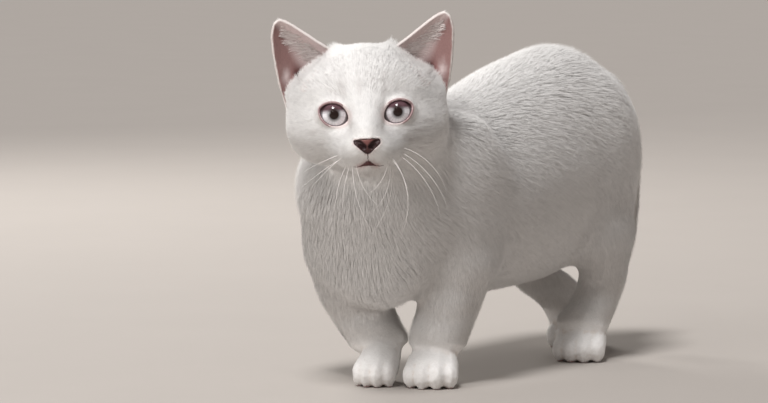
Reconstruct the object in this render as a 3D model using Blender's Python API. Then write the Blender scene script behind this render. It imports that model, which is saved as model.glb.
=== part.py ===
"""A munchkin cat, life size and still: it stands on four short legs and turns its head to its left.

The cat faces -Y, its left side is +X and +Z is up. Lengths in the tables are millimetres and
angles degrees; everything is made in metres. The flesh is modelled whole, out to the tips of the
short coat, and parted into its nodes by thin cuts. Ears, eyes and nose are pieces of their own.
"""

import math

import bmesh
import bpy
import numpy as np
from mathutils import Matrix, Vector
from mathutils.bvhtree import BVHTree

MM = 0.001
GAP = 0.3 * MM  # between two pieces that meet
WELD = 1e-6  # joins the caps of a rod to its tube
SIDES = {"left": 1, "right": -1}

# Driving sizes of the standing cat
WITHERS = 162.0  # height of the back over the shoulders
CROUP = 187.5  # height of the back over the hips
BELLY = 45.0  # clear height under the trunk
TRUNK_WIDTH = 102.0
TAIL_THICK = 25.0
PAW_HEIGHT = 25.0  # where a paw is parted from its leg

# Where the head is and how it is turned
HEAD_PLACE = (8.0, -50.0, 156.3)  # midway between the eyes, in the middle of the head
HEAD_YAW = 36.0  # towards the cat's left
HEAD_PITCH = 5.0  # nose up
HEAD_ROLL = 2.7  # left ear up
HEAD_WIDTH = 88.0  # over the cheeks, with the coat
SKULL_TOP = 38.0  # above the line of the eyes

# The eyes, in the head's own frame: x to the cat's left, -y forward, z up
EYE_RADIUS = 9.5
EYE_PLACE = (17.3, -21.4, -2.5)
SOCKET_CLEAR = 0.35
LID_RADIUS = 10.9  # outside of the lids, round the middle of the eye
EYE_LENGTH = 16.8  # from corner to corner between the lids
EYE_OPEN = 12.4  # height of the opening
EYE_SLANT = 24.0  # the outer corner is the higher one

# The nose leather and the mouth
NOSE_WIDTH = 14.2
NOSE_TOP = -17.2
NOSE_POINT = -24.4
NOSE_BACK = -41.0  # the leather reaches this far back into the muzzle
NOSTRIL_THICK = 0.85
GROOVE = 0.7
# The line of the mouth from its middle to its corner, as x and z
MOUTH_LINE = [(0.0, -29.2), (1.7, -30.1), (3.8, -31.0), (6.0, -31.5), (8.2, -31.2)]

# The left ear, in the head's own frame: its two edges from the foot inside the skull to the tip
EAR_WALL = 2.1
EAR_CUP = 10.5  # how deep the ear is hollowed at its base
EAR_OUTER = [(43, 5, -3), (45.2, 4, 6), (47.6, 3, 18), (49.6, 2.5, 32), (50.2, 2, 43), (48.6, 2, 50)]
EAR_INNER = [(10, 9, 25), (16, 6, 33), (24, 4, 38.5), (33, 3, 45), (40, 2.5, 49.8), (45.6, 2, 52.4)]

# Where each paw stands, and how far it is turned towards the cat's left
PAWS = {
    "forepaw_left": (23.0, -7.5, 28.0),
    "forepaw_right": (-5.8, -19.0, 20.0),
    "hindpaw_left": (29.0, 137.0, 22.0),
    "hindpaw_right": (-12.0, 189.0, 26.0),
}

PAW_WIDTH = {
    "forepaw_left": 32.0,
    "forepaw_right": 25.5,
    "hindpaw_left": 32.0,
    "hindpaw_right": 29.0,
}

# Coat colours
WHITE_COAT = (0.83, 0.80, 0.78)
TAIL_COAT = (0.70, 0.64, 0.61)
EAR_SKIN = (0.72, 0.52, 0.49)
NOSE_SKIN = (0.42, 0.20, 0.19)
IRIS = (0.62, 0.68, 0.74)

# How far two neighbouring forms melt together
BODY_BLEND = 11.0
LIMB_BLEND = 9.0
HEAD_BLEND = 6.0
LID_BLEND = 2.0
TOE_BLEND = 2.2
NECK_BLEND = 12.0
ORBIT_BLEND = 4.0
PAW_BLEND = 3.0

FLESH_TRIANGLES = 6600
FAR = 1.0


def material(name, colour, roughness):
    made = bpy.data.materials.new(name)
    made.use_nodes = True
    shader = made.node_tree.nodes["Principled BSDF"]
    shader.inputs["Base Color"].default_value = (*colour, 1.0)
    shader.inputs["Roughness"].default_value = roughness
    shader.inputs["Metallic"].default_value = 0.0
    return made


def remove(obj):
    bpy.data.objects.remove(obj, do_unlink=True)


def object_from(name, bm):
    """A new object that holds the mesh of bm, which is freed."""
    mesh = bpy.data.meshes.new(name)
    bm.to_mesh(mesh)
    bm.free()
    obj = bpy.data.objects.new(name, mesh)
    bpy.context.scene.collection.objects.link(obj)
    return obj


def copy_of(obj, name):
    made = obj.copy()
    made.data = obj.data.copy()
    made.name = name
    bpy.context.scene.collection.objects.link(made)
    return made


def apply_modifiers(obj):
    graph = bpy.context.evaluated_depsgraph_get()
    mesh = bpy.data.meshes.new_from_object(obj.evaluated_get(graph))
    obj.modifiers.clear()
    obj.data = mesh


def boolean(obj, other, operation, keep_other=False):
    """Joins, cuts or intersects obj with another closed mesh."""
    step = obj.modifiers.new(operation, "BOOLEAN")
    step.operation = operation
    step.object = other
    step.solver = "EXACT"
    apply_modifiers(obj)
    if not keep_other:
        remove(other)


def largest_shell(obj):
    """Keeps only the largest closed surface of the mesh."""
    bm = bmesh.new()
    bm.from_mesh(obj.data)
    left = set(bm.faces)
    best = []
    most = 0.0
    while left:
        front = [left.pop()]
        shell = list(front)
        while front:
            face = front.pop()
            for edge in face.edges:
                for other in edge.link_faces:
                    if other in left:
                        left.remove(other)
                        front.append(other)
                        shell.append(other)
        area = sum(f.calc_area() for f in shell)
        if area > most:
            best, most = shell, area
    keep = set(best)
    bmesh.ops.delete(bm, geom=[f for f in bm.faces if f not in keep], context="FACES")
    bm.to_mesh(obj.data)
    bm.free()


# Forms


def frame_at(place, yaw, pitch=0.0, roll=0.0):
    """Carries points of a frame of its own into the cat's. Pitch lifts the front, roll the left."""
    turn = (
        Matrix.Rotation(math.radians(yaw), 4, "Z")
        @ Matrix.Rotation(math.radians(-pitch), 4, "X")
        @ Matrix.Rotation(math.radians(-roll), 4, "Y")
    )
    return Matrix.Translation(Vector(place) * MM) @ turn


STILL = Matrix.Identity(4)
HEAD = frame_at(HEAD_PLACE, HEAD_YAW, HEAD_PITCH, HEAD_ROLL)
FACE_MIDDLE = HEAD @ (Vector((0, -28, -8)) * MM)


def in_head(x, y, z):
    return HEAD @ (Vector((x, y, z)) * MM)


def mirrored(stations):
    return [(-s[0], *s[1:]) for s in stations]


def rounded_chain(stations, steps=3):
    """More stations along a smooth line through the given ones."""
    if len(stations) < 3:
        return [np.array(s, float) for s in stations]
    s = [np.array(t, float) for t in (stations[0], *stations, stations[-1])]
    made = []
    for a, b, c, d in zip(s, s[1:], s[2:], s[3:]):
        for t in np.arange(steps) / steps:
            bend = (2 * a - 5 * b + 4 * c - d) * t * t + (3 * (b - c) + d - a) * t**3
            made.append(b + 0.5 * ((c - a) * t + bend))
    return [*made, s[-1]]


def add_hulls(bm, chain, frame):
    """Adds the chain's ellipsoids, each wrapped together with the next in one convex skin."""
    for pair in zip(chain, chain[1:] or chain):
        link = bmesh.new()
        for station in pair:
            place = Matrix.Translation(Vector(station[:3]) * MM)
            size = Matrix.Diagonal((*(station[3:] * MM), 1.0))
            bmesh.ops.create_icosphere(
                link, subdivisions=3, radius=1.0, matrix=frame @ place @ size
            )
        hull = bmesh.ops.convex_hull(link, input=link.verts)
        inside = [v for v in hull["geom_interior"] if isinstance(v, bmesh.types.BMVert)]
        bmesh.ops.delete(link, geom=inside, context="VERTS")
        mesh = bpy.data.meshes.new("link")
        link.to_mesh(mesh)
        link.free()
        bm.from_mesh(mesh)
        bpy.data.meshes.remove(mesh)


def distance_to_chain(points, chain, reach):
    """About how far points lie outside the chain. Points beyond reach count as far away."""
    low = np.min([s[:3] - s[3:] for s in chain], axis=0) * MM - reach
    high = np.max([s[:3] + s[3:] for s in chain], axis=0) * MM + reach
    near = np.all((points > low) & (points < high), axis=1)
    p = points[near]
    best = np.full(len(p), FAR)
    for a, b in zip(chain, chain[1:] or chain):
        a, b = a * MM, b * MM
        mean = (a[3:] + b[3:]) / 2
        along = (b[:3] - a[:3]) / mean
        t = np.clip(((p - a[:3]) / mean) @ along / max(along @ along, MM), 0, 1)[:, None]
        size = a[3:] + t * (b[3:] - a[3:])
        q = (p - a[:3] - t * (b[:3] - a[:3])) / size
        k = np.linalg.norm(q, axis=1)
        steep = np.maximum(np.linalg.norm(q / size, axis=1), MM)
        best = np.minimum(best, k * (k - 1) / steep)
    made = np.full(len(points), FAR)
    made[near] = best
    return made


def melted(a, b, blend):
    """The nearer of two distances, rounded where they are alike."""
    alike = np.maximum(blend * MM - np.abs(a - b), 0)
    return np.minimum(a, b) - alike * alike / (4 * blend * MM)


class Form:
    """Chains in one frame that melt together, and how they melt into the forms before them.

    A hollow form is taken out of the forms before it.
    """

    def __init__(self, frame, chains, blend, join, hollow=False):
        self.frame = frame
        self.chains = [rounded_chain(c) for c in chains]
        self.blend = blend
        self.join = join
        self.hollow = hollow

    def distance(self, points):
        turn = np.array(self.frame.inverted())
        local = points @ turn[:3, :3].T + turn[:3, 3]
        made = np.full(len(points), FAR)
        for chain in self.chains:
            reach = 2 * max(self.blend, self.join) * MM
            made = melted(made, distance_to_chain(local, chain, reach), self.blend)
        return made


def distance_to_flesh(points, forms):
    made = np.full(len(points), FAR)
    for form in forms:
        if form.hollow:
            made = -melted(-made, form.distance(points), form.join)
        else:
            made = melted(made, form.distance(points), form.join)
    return made


def settle(obj, forms, rounds=3):
    """Draws the vertices onto the surface where the forms melt together."""
    count = len(obj.data.vertices)
    flat = np.empty(count * 3)
    obj.data.vertices.foreach_get("co", flat)
    p = flat.reshape(-1, 3)
    small = 0.05 * MM
    longest = 2.5 * MM
    for _ in range(rounds):
        here = distance_to_flesh(p, forms)
        slope = [(distance_to_flesh(p + small * e, forms) - here) / small for e in np.eye(3)]
        slope = np.stack(slope, axis=1)
        squared = np.maximum((slope**2).sum(1), 0.25)
        step = -(here / squared)[:, None] * slope
        size = np.maximum(np.linalg.norm(step, axis=1, keepdims=True), MM * MM)
        p = p + step * np.minimum(1, longest / size)
    obj.data.vertices.foreach_set("co", p.ravel())


# The flesh, as chains of ellipsoids: x, y, z and the three half sizes


def trunk_chains():
    half = TRUNK_WIDTH / 2
    # y, height of the back, clear height below, share of the full width, half length
    spine = [
        (-14, WITHERS - 22, BELLY + 16, 0.76, 20),
        (14, WITHERS - 5, BELLY, 0.88, 27),
        (50, WITHERS - 1, BELLY - 1, 0.95, 30),
        (93, CROUP - 13, BELLY, 0.99, 32),
        (122, CROUP - 6, BELLY + 3, 1.0, 32),
        (147, CROUP - 2, BELLY + 12, 0.98, 30),
        (174, CROUP - 12, BELLY + 32, 0.80, 24),
    ]
    trunk = [
        (0, y, (top + low) / 2, wide * half, long, (top - low) / 2)
        for y, top, low, wide, long in spine
    ]
    breast = [(-12, -25, 108, 43, 26, 38), (-11, -17, 69, 36, 23, 27)]
    neck = [(-1, 12, 126, 39, 24, 34), (-4, -15, 136, 42, 26, 34), (5, -32, 150, 35, 24, 28)]
    return [trunk, breast, neck]


# Shoulder and upper arm, then the forearm down to the paw; the right side is a step ahead
FORELEGS = {
    "left": [
        [(32, 13, 114, 17, 26, 36), (31, 16, 76, 16, 21, 20)],
        [(28.5, 16, 68, 18.5, 19, 15), (22.5, 11, 46, 18, 18, 13), (19.5, 3, 26, 17.5, 16.5, 12)],
    ],
    "right": [
        [(-41, -8, 114, 18, 26, 36), (-43.5, -8, 82, 19, 22, 20)],
        [(-42, -6, 68, 20, 20, 16), (-34.5, -4, 47, 21, 19, 13), (-17.5, -6, 25, 18, 16.5, 12)],
    ],
}

# Thigh, then shank, hock and metatarsus down to the paw; the right one is set further back
HINDLEGS = {
    "left": [
        [(31, 151, 116, 20, 34, 50), (34, 147, 84, 17, 28, 26)],
        [
            (34, 148, 72, 17, 24, 17),
            (32, 155, 50, 14.5, 16.5, 12),
            (30, 149, 33, 14, 15, 11),
            (27.5, 141, 22, 16, 16, 11),
        ],
    ],
    "right": [
        [(-31, 154, 116, 20, 34, 50), (-34, 158, 84, 17, 28, 26)],
        [
            (-33, 163, 72, 16.5, 24, 17),
            (-27.5, 166, 48, 14.5, 18, 12),
            (-17.5, 183, 32, 14, 17, 11),
            (-13, 189, 20, 14.5, 16, 10),
        ],
    ],
}


def paw_chains(width):
    """Four toes in front of a low instep, in the paw's own frame: -y forward."""
    wide = width / 32
    instep = [(0, 8, 15, wide * 13.0, 14, 11), (0, -3, 10.5, wide * 13.5, 13, 9.5)]
    # x and y of each toe's tip, and its half width
    toes = [(-11.0, -9.5, 5.0), (-3.9, -13.5, 5.3), (3.9, -13.5, 5.3), (11.0, -9.5, 5.0)]
    chains = [instep]
    for x, y, half in toes:
        x, half = x * wide, half * wide
        chains.append([(x * 0.9, y + 9, 11, half, 8, 7.5), (x, y, 6.9, half, 6.8, 7.4)])
    return [*chains, [(0, 10, 6, wide * 10, 10, 7)]]


def tail_chain():
    """Out of the croup, over, and down behind the hocks."""
    thick = TAIL_THICK / 2
    # x, y, z and the share of the full thickness
    line = [
        (0, 186, 158, 1.2),
        (0, 203, 153, 1.1),
        (2, 214, 139, 1.03),
        (4, 218, 117, 1.0),
        (6, 216, 93, 0.96),
        (8, 211, 71, 0.9),
        (9, 206, 57, 0.8),
        (9, 203, 50, 0.62),
    ]
    return [(x, y, z, s * thick, s * thick, s * thick) for x, y, z, s in line]


def head_chains():
    """In the head's own frame."""
    cheek = HEAD_WIDTH / 2
    cranium = [(0, 9, 9, 36.5, 37, SKULL_TOP - 9), (0, -6, 11, 30, 21.5, SKULL_TOP - 13)]
    jowl = [(0, 2, -17, 31, 30, 16.5), (0, -14, -22, 20, 20, 12)]
    bridge = [(0, -18.5, 11, 14, 9, 9), (0, -29.5, -2, 10.5, 9, 8), (0, -40.5, -12.5, 7.4, 7.2, 6)]
    muzzle = [(0, -18, -16, 19, 15, 14), (0, -29, -21, 16, 13, 11)]
    nose = [(0, -42, -19.5, 6.8, 6.4, 4.6)]
    chin = [(0, -24, -27, 12, 13, 8), (0, -34.0, -31.5, 8.2, 8.5, 5.6)]
    pad = [(10, -26, -20, 10.5, 11, 9.5), (7.3, -36.5, -23.0, 8.6, 9.8, 7.4)]
    side = [(cheek - 20.5, -1, -9, 20.5, 23, 20), (cheek - 21, 4, 3, 20.5, 23, 20)]
    brow = [(7, -14.5, 12, 12, 13, 11), (19, -10, 10, 15, 13, 12)]
    under_eye = [(17, -15, -13.5, 15, 14, 11)]
    chains = [cranium, jowl, bridge, muzzle, nose, chin]
    for form in (pad, side, brow, under_eye):
        chains += [form, mirrored(form)]
    return chains


def orbit_chains():
    """The hollows of the brow in which the lids lie."""
    x, y, z = EYE_PLACE
    chains = []
    for side in SIDES.values():
        chains.append([(side * (x + 0.8), y - 15.5, z + 0.5, 9.5, 7.5, 8.0)])
    return chains


def lid_chains():
    x, y, z = EYE_PLACE
    ball = (LID_RADIUS, LID_RADIUS, LID_RADIUS)
    return [[(x, y, z, *ball)], [(-x, y, z, *ball)]]


def all_forms():
    left = [*FORELEGS["left"], *HINDLEGS["left"]]
    right = [*FORELEGS["right"], *HINDLEGS["right"]]
    forms = [
        Form(STILL, trunk_chains(), BODY_BLEND, BODY_BLEND),
        Form(STILL, left, LIMB_BLEND, LIMB_BLEND),
        Form(STILL, right, LIMB_BLEND, LIMB_BLEND),
        Form(STILL, [tail_chain()], PAW_BLEND, PAW_BLEND),
        Form(HEAD, head_chains(), HEAD_BLEND, NECK_BLEND),
        Form(HEAD, orbit_chains(), ORBIT_BLEND, ORBIT_BLEND, hollow=True),
        Form(HEAD, lid_chains(), LID_BLEND, LID_BLEND),
    ]
    for name, (x, y, turned) in PAWS.items():
        frame = frame_at((x, y, 0), turned)
        forms.append(Form(frame, paw_chains(PAW_WIDTH[name]), TOE_BLEND, PAW_BLEND))
    return forms


def flesh():
    """The whole cat but ears, eyes and nose, as one smooth closed surface."""
    forms = all_forms()
    bm = bmesh.new()
    for form in forms:
        if not form.hollow:
            for chain in form.chains:
                add_hulls(bm, chain, form.frame)
    whole = object_from("whole", bm)
    wrap = whole.modifiers.new("wrap", "REMESH")
    wrap.mode = "VOXEL"
    wrap.voxel_size = 1.15 * MM
    soften = whole.modifiers.new("soften", "SMOOTH")
    soften.factor = 0.5
    soften.iterations = 3
    apply_modifiers(whole)
    settle(whole, forms)
    soften = whole.modifiers.new("soften", "SMOOTH")
    soften.factor = 0.5
    soften.iterations = 2
    group_by(whole, "body", lambda p: 1.0 - detail(p))
    even = whole.modifiers.new("even", "SMOOTH")
    even.factor = 0.5
    even.iterations = 24
    even.vertex_group = "body"
    apply_modifiers(whole)
    return whole


def group_by(obj, name, weight_at):
    group = obj.vertex_groups.new(name=name)
    for v in obj.data.vertices:
        group.add([v.index], weight_at(v.co), "REPLACE")


def detail(p):
    """From 1 on the face and paws, where forms are small, to 0 on the body."""
    face = 1.6 - (p - FACE_MIDDLE).length / (30 * MM)
    paw = 2.0 - p.z / (PAW_HEIGHT * MM)
    return max(0.0, min(1.0, max(face, paw)))


def bisected(obj, place, normal):
    """Cuts the mesh by a plane and closes it. What lies on the normal's side goes."""
    bm = bmesh.new()
    bm.from_mesh(obj.data)
    cut = bmesh.ops.bisect_plane(
        bm,
        geom=bm.verts[:] + bm.edges[:] + bm.faces[:],
        plane_co=place,
        plane_no=normal,
        clear_outer=True,
    )
    rims = [e for e in cut["geom_cut"] if isinstance(e, bmesh.types.BMEdge)]
    bmesh.ops.holes_fill(bm, edges=rims)
    bmesh.ops.triangulate(bm, faces=bm.faces)
    bm.to_mesh(obj.data)
    bm.free()


def thin_out(obj, faces):
    """Collapses faces down to the wanted count."""
    step = obj.modifiers.new("thin", "DECIMATE")
    step.decimate_type = "COLLAPSE"
    step.ratio = faces / sum(len(p.vertices) - 2 for p in obj.data.polygons)
    step.use_collapse_triangulate = True
    apply_modifiers(obj)


def region(name, planes, grow=0.0):
    """A closed block bounded by planes, each a point and an outward normal in millimetres."""
    bm = bmesh.new()
    bmesh.ops.create_cube(bm, size=1.2)
    block = object_from(name, bm)
    for place, normal in planes:
        normal = Vector(normal).normalized()
        bisected(block, Vector(place) * MM + normal * grow, normal)
    return block


def part_off(whole, name, planes):
    """Takes the flesh inside the planes off as a piece of its own, with a thin gap round it."""
    piece = copy_of(whole, name)
    boolean(piece, region("inside", planes), "INTERSECT")
    boolean(whole, region("outside", planes, GAP), "DIFFERENCE")
    largest_shell(piece)
    largest_shell(whole)
    return piece


def level_split(obj, name, place, normal):
    """Parts obj in two by a plane. The piece on the normal's side gets the name."""
    normal = Vector(normal).normalized()
    place = Vector(place) * MM
    piece = copy_of(obj, name)
    bisected(piece, place + normal * GAP / 2, -normal)
    bisected(obj, place - normal * GAP / 2, normal)
    largest_shell(piece)
    largest_shell(obj)
    return piece


# Where the flesh is parted: a point and an outward normal for each plane


def foreleg_planes(side):
    stride = 0 if side > 0 else -18
    return [
        ((side * 2, 0, BELLY - 2), (side * -50, 0, 48)),
        ((8, -13.5, 0), (side * -0.94, side * -0.34, 0)),
        ((0, 36 + stride, 60), (0, 1, -0.25)),
        ((0, -62, 0), (0, -1, 0)),
    ]


def hindleg_planes(side):
    stride = 0 if side > 0 else 10
    return [
        ((side * 9, 0, BELLY + 4), (side * -60, 0, 44)),
        ((6, 0, 0), (-side, 0, 0)),
        ((0, 117 + stride, 60), (0, -1, 0.12)),
    ]


TAIL_PLANES = [
    ((0, 203, 153), (0, -1, 0.13)),
    ((-9.5, 0, 100), (-1, 0, -0.118)),
    ((0, 0, 38), (0, 0, -1)),
]
TAIL_MIDDLE = ((0, 216, 93), (0, 0.1, -1))
SHOULDER_CUT = ((0, -2, 130), (0, -0.66, 0.75))
THROAT_CUT = ((4, -22, 143), (0.3, -0.62, 0.72))


def divided(whole):
    """Parts the flesh into its nodes. Returns them by name."""
    pieces = {}
    pieces["tail_upper"] = part_off(whole, "tail_upper", TAIL_PLANES)
    pieces["tail_lower"] = level_split(pieces["tail_upper"], "tail_lower", *TAIL_MIDDLE)
    for word, side in SIDES.items():
        for leg, paw, planes in (
            ("foreleg_", "forepaw_", foreleg_planes(side)),
            ("hindleg_", "hindpaw_", hindleg_planes(side)),
        ):
            piece = part_off(whole, leg + word, planes)
            pieces[leg + word] = piece
            floor = (0, 0, PAW_HEIGHT)
            pieces[paw + word] = level_split(piece, paw + word, floor, (0, 0, -1))
    pieces["head"] = level_split(whole, "head", *THROAT_CUT)
    pieces["neck"] = level_split(whole, "neck", *SHOULDER_CUT)
    whole.name = "torso"
    pieces["torso"] = whole
    return pieces


# The face


def almond(side, grow=0.0):
    """The opening between the lids of one eye, as a block that reaches to the front."""
    long = EYE_LENGTH / 2 + grow
    high = EYE_OPEN / 2 + grow
    count = 24
    x, y, z = EYE_PLACE
    slant = math.radians(EYE_SLANT)
    bm = bmesh.new()
    rings = []
    for depth in (2.0, 40.0):
        ring = []
        for k in range(count):
            turn = math.tau * k / count
            # the sine's power draws the two corners out to points
            u = long * math.cos(turn)
            v = high * math.copysign(abs(math.sin(turn)) ** 1.25, math.sin(turn))
            across = u * math.cos(slant) - v * math.sin(slant)
            up = u * math.sin(slant) + v * math.cos(slant)
            spot = in_head(side * (x + across), y - depth, z + up)
            ring.append(bm.verts.new(spot))
        rings.append(ring)
    for k in range(count):
        j = (k + 1) % count
        bm.faces.new((rings[0][k], rings[0][j], rings[1][j], rings[1][k]))
    bm.faces.new(rings[0])
    bm.faces.new(rings[1])
    bmesh.ops.recalc_face_normals(bm, faces=bm.faces)
    return object_from("almond", bm)


def ball(name, middle, radius, segments=20):
    """A ball whose axis looks out of the face."""
    bm = bmesh.new()
    place = HEAD @ Matrix.Translation(Vector(middle) * MM) @ Matrix.Rotation(math.pi / 2, 4, "X")
    bmesh.ops.create_uvsphere(
        bm, u_segments=segments, v_segments=segments // 2, radius=radius * MM, matrix=place
    )
    return object_from(name, bm)


def set_eye(head, word, side):
    """Opens the lids over a socket and sets the eye in it."""
    x, y, z = EYE_PLACE
    middle = (side * x, y, z)
    boolean(head, almond(side), "DIFFERENCE")
    boolean(head, ball("socket", middle, EYE_RADIUS + SOCKET_CLEAR, 24), "DIFFERENCE")
    return ball("eye_" + word, middle, EYE_RADIUS)


def nose_block(grow):
    """A block with five sides round the nose leather: wide above, a point below."""
    half = NOSE_WIDTH / 2
    planes = [
        ((0, 0, NOSE_TOP), (0, 0, 1)),
        ((0, 0, NOSE_POINT), (0, 0, -1)),
        ((0, NOSE_BACK, 0), (0, 1, 0)),
    ]
    for side in SIDES.values():
        planes.append(((side * half, 0, NOSE_TOP - 2.2), (side, 0, 0.12)))
        planes.append(((side * 1.0, 0, NOSE_POINT), (side * 5.4, 0, -6.1)))
    block = region("nose_block", planes, grow)
    block.data.transform(HEAD)
    return block


def front_of(tree, x, z):
    """Where a line into the face meets it, in metres."""
    start = in_head(x, -90, z)
    along = (in_head(x, 0, z) - start).normalized()
    return tree.ray_cast(start, along)[0]


def groove_cutter(tree, line, thick):
    """A thin rod along a line drawn on the face by its x and z."""
    curve = bpy.data.curves.new("groove", "CURVE")
    curve.dimensions = "3D"
    curve.bevel_depth = thick * MM
    curve.bevel_resolution = 2
    curve.use_fill_caps = True
    spline = curve.splines.new("POLY")
    spline.points.add(len(line) - 1)
    for point, (x, z) in zip(spline.points, line):
        point.co = (*front_of(tree, x, z), 1.0)
    rod = bpy.data.objects.new("groove", curve)
    bpy.context.scene.collection.objects.link(rod)
    graph = bpy.context.evaluated_depsgraph_get()
    mesh = bpy.data.meshes.new_from_object(rod.evaluated_get(graph))
    remove(rod)
    bm = bmesh.new()
    bm.from_mesh(mesh)
    bmesh.ops.remove_doubles(bm, verts=bm.verts, dist=WELD)
    bmesh.ops.recalc_face_normals(bm, faces=bm.faces)
    bpy.data.meshes.remove(mesh)
    return object_from("groove", bm)


def cut_mouth(head):
    """Cuts the line of the mouth, and the groove from it up to the nose."""
    bm = bmesh.new()
    bm.from_mesh(head.data)
    tree = BVHTree.FromBMesh(bm)
    bm.free()
    left = MOUTH_LINE[1:]
    right = [(-x, z) for x, z in reversed(left)]
    boolean(head, groove_cutter(tree, [*right, MOUTH_LINE[0], *left], GROOVE), "DIFFERENCE")
    rise = [(0, MOUTH_LINE[0][1] - 0.3), (0, -26.0), (0, NOSE_POINT + 0.8)]
    boolean(head, groove_cutter(tree, rise, GROOVE * 0.8), "DIFFERENCE")


def cut_nostrils(nose):
    """A short slanting hole on each side that runs out towards the wing of the nose."""
    bm = bmesh.new()
    bm.from_mesh(nose.data)
    tree = BVHTree.FromBMesh(bm)
    bm.free()
    for side in SIDES.values():
        line = [(side * 2.2, -21.6), (side * 3.4, -21.2), (side * 4.8, -20.2)]
        boolean(nose, groove_cutter(tree, line, NOSTRIL_THICK), "DIFFERENCE")


def ear(word, side, head_grown):
    """A cupped shell between its two edges, from its foot in the skull to its rounded tip."""
    outer, inner = rounded_chain(EAR_OUTER), rounded_chain(EAR_INNER)
    back = np.array((-0.30, 0.94, 0.10))
    columns = 10
    bm = bmesh.new()
    grid = []
    for j, (a, b) in enumerate(zip(outer, inner)):
        up = j / (len(outer) - 1)
        cup = EAR_CUP * math.cos(0.5 * math.pi * up) ** 0.8
        row = []
        for i in range(columns + 1):
            t = i / columns
            spot = a + (b - a) * t + back * (cup * math.sin(math.pi * t) ** 0.8)
            row.append(bm.verts.new(in_head(side * spot[0], spot[1], spot[2])))
        grid.append(row)
    for lower, upper in zip(grid, grid[1:]):
        for k in range(columns):
            loop = (lower[k], lower[k + 1], upper[k + 1], upper[k])
            bm.faces.new(loop if side < 0 else loop[::-1])
    made = object_from("ear_" + word, bm)
    wall = made.modifiers.new("wall", "SOLIDIFY")
    wall.thickness = EAR_WALL * MM
    wall.offset = 0.0
    apply_modifiers(made)
    boolean(made, head_grown, "DIFFERENCE", keep_other=True)
    largest_shell(made)
    return made


def finish(pieces):
    """Gives each node its colour, and sets the origin below the middle of the standing cat."""
    looks = {
        "eye": (IRIS, 0.1),
        "nose": (NOSE_SKIN, 0.45),
        "ear": (EAR_SKIN, 0.7),
        "tail": (TAIL_COAT, 0.9),
    }
    corners = [v.co for piece in pieces.values() for v in piece.data.vertices]
    low = Vector([min(c[i] for c in corners) for i in range(3)])
    high = Vector([max(c[i] for c in corners) for i in range(3)])
    home = Vector(((low.x + high.x) / 2, (low.y + high.y) / 2, low.z))
    for name, piece in pieces.items():
        colour, roughness = looks.get(name.split("_")[0], (WHITE_COAT, 0.9))
        piece.data.materials.clear()
        piece.data.materials.append(material(name, colour, roughness))
        piece.data.transform(Matrix.Translation(-home))
        piece.data.shade_smooth()
        piece.data.set_sharp_from_angle(angle=math.radians(50))


def main():
    for obj in list(bpy.data.objects):
        remove(obj)
    whole = flesh()
    thin_out(whole, FLESH_TRIANGLES)
    bisected(whole, (0, 0, 0), (0, 0, -1))
    pieces = divided(whole)
    head = pieces["head"]
    grown = copy_of(head, "head_grown")
    swell = grown.modifiers.new("swell", "DISPLACE")
    swell.strength = GAP
    swell.mid_level = 0.0
    apply_modifiers(grown)
    for word, side in SIDES.items():
        pieces["ear_" + word] = ear(word, side, grown)
    remove(grown)
    nose = copy_of(head, "nose")
    boolean(nose, nose_block(0.0), "INTERSECT")
    boolean(head, nose_block(GAP), "DIFFERENCE")
    largest_shell(nose)
    cut_mouth(head)
    cut_nostrils(nose)
    pieces["nose"] = nose
    for word, side in SIDES.items():
        pieces["eye_" + word] = set_eye(head, word, side)
    for name in ("head", "nose"):
        largest_shell(pieces[name])
    finish(pieces)


main()
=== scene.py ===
"""Skin, coat, eyes, nose, whiskers and stage of the still munchkin cat.

The cat faces -Y, its left side is +X and +Z is up. The head has a frame of its own: x to the cat's
left, y backwards, z up, with its origin in the middle of the head between the eyes.
"""

import math

import bmesh
import bpy
import numpy as np
from mathutils import Matrix, Vector, noise
from mathutils.bvhtree import BVHTree
from mathutils.kdtree import KDTree


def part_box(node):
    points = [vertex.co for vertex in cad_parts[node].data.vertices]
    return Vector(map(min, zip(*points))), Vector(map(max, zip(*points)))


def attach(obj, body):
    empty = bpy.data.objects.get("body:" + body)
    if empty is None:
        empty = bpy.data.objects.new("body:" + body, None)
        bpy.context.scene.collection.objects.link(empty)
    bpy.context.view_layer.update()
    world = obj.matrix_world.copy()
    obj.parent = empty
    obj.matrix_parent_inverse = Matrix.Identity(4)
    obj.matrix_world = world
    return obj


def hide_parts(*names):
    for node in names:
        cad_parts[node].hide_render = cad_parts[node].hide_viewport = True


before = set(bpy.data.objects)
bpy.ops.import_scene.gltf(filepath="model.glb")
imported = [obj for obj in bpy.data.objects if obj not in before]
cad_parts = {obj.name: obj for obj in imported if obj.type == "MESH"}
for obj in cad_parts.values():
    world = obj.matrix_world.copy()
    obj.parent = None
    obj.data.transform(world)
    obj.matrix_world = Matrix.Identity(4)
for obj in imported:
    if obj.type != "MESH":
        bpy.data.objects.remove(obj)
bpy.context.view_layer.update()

bl_info = {
    "name": "Munchkin cat",
    "version": (1, 0, 0),
    "blender": (4, 5, 0),
    "location": "3D View > Sidebar > Cat",
    "description": "Dresses the solids of a still munchkin cat in skin, coat, eyes and whiskers",
    "category": "Object",
}

MM = 0.001
SIDES = {"left": 1, "right": -1}
LEGS = ("foreleg", "hindleg")
PAWS = ("forepaw", "hindpaw")
REGIONS = {
    "head": ["head"],
    "neck": ["neck"],
    "torso": ["torso"],
    "leg": [f"{leg}_{side}" for leg in LEGS for side in SIDES],
    "paw": [f"{paw}_{side}" for paw in PAWS for side in SIDES],
    "tail": ["tail_upper", "tail_lower"],
    "ear": ["ear_left", "ear_right"],
}
NAMES = list(REGIONS)
FLESH = [node for nodes in REGIONS.values() for node in nodes]


def size_property(name, description, default, unit="LENGTH"):
    return bpy.props.FloatProperty(name=name, description=description, default=default, unit=unit)


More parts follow.
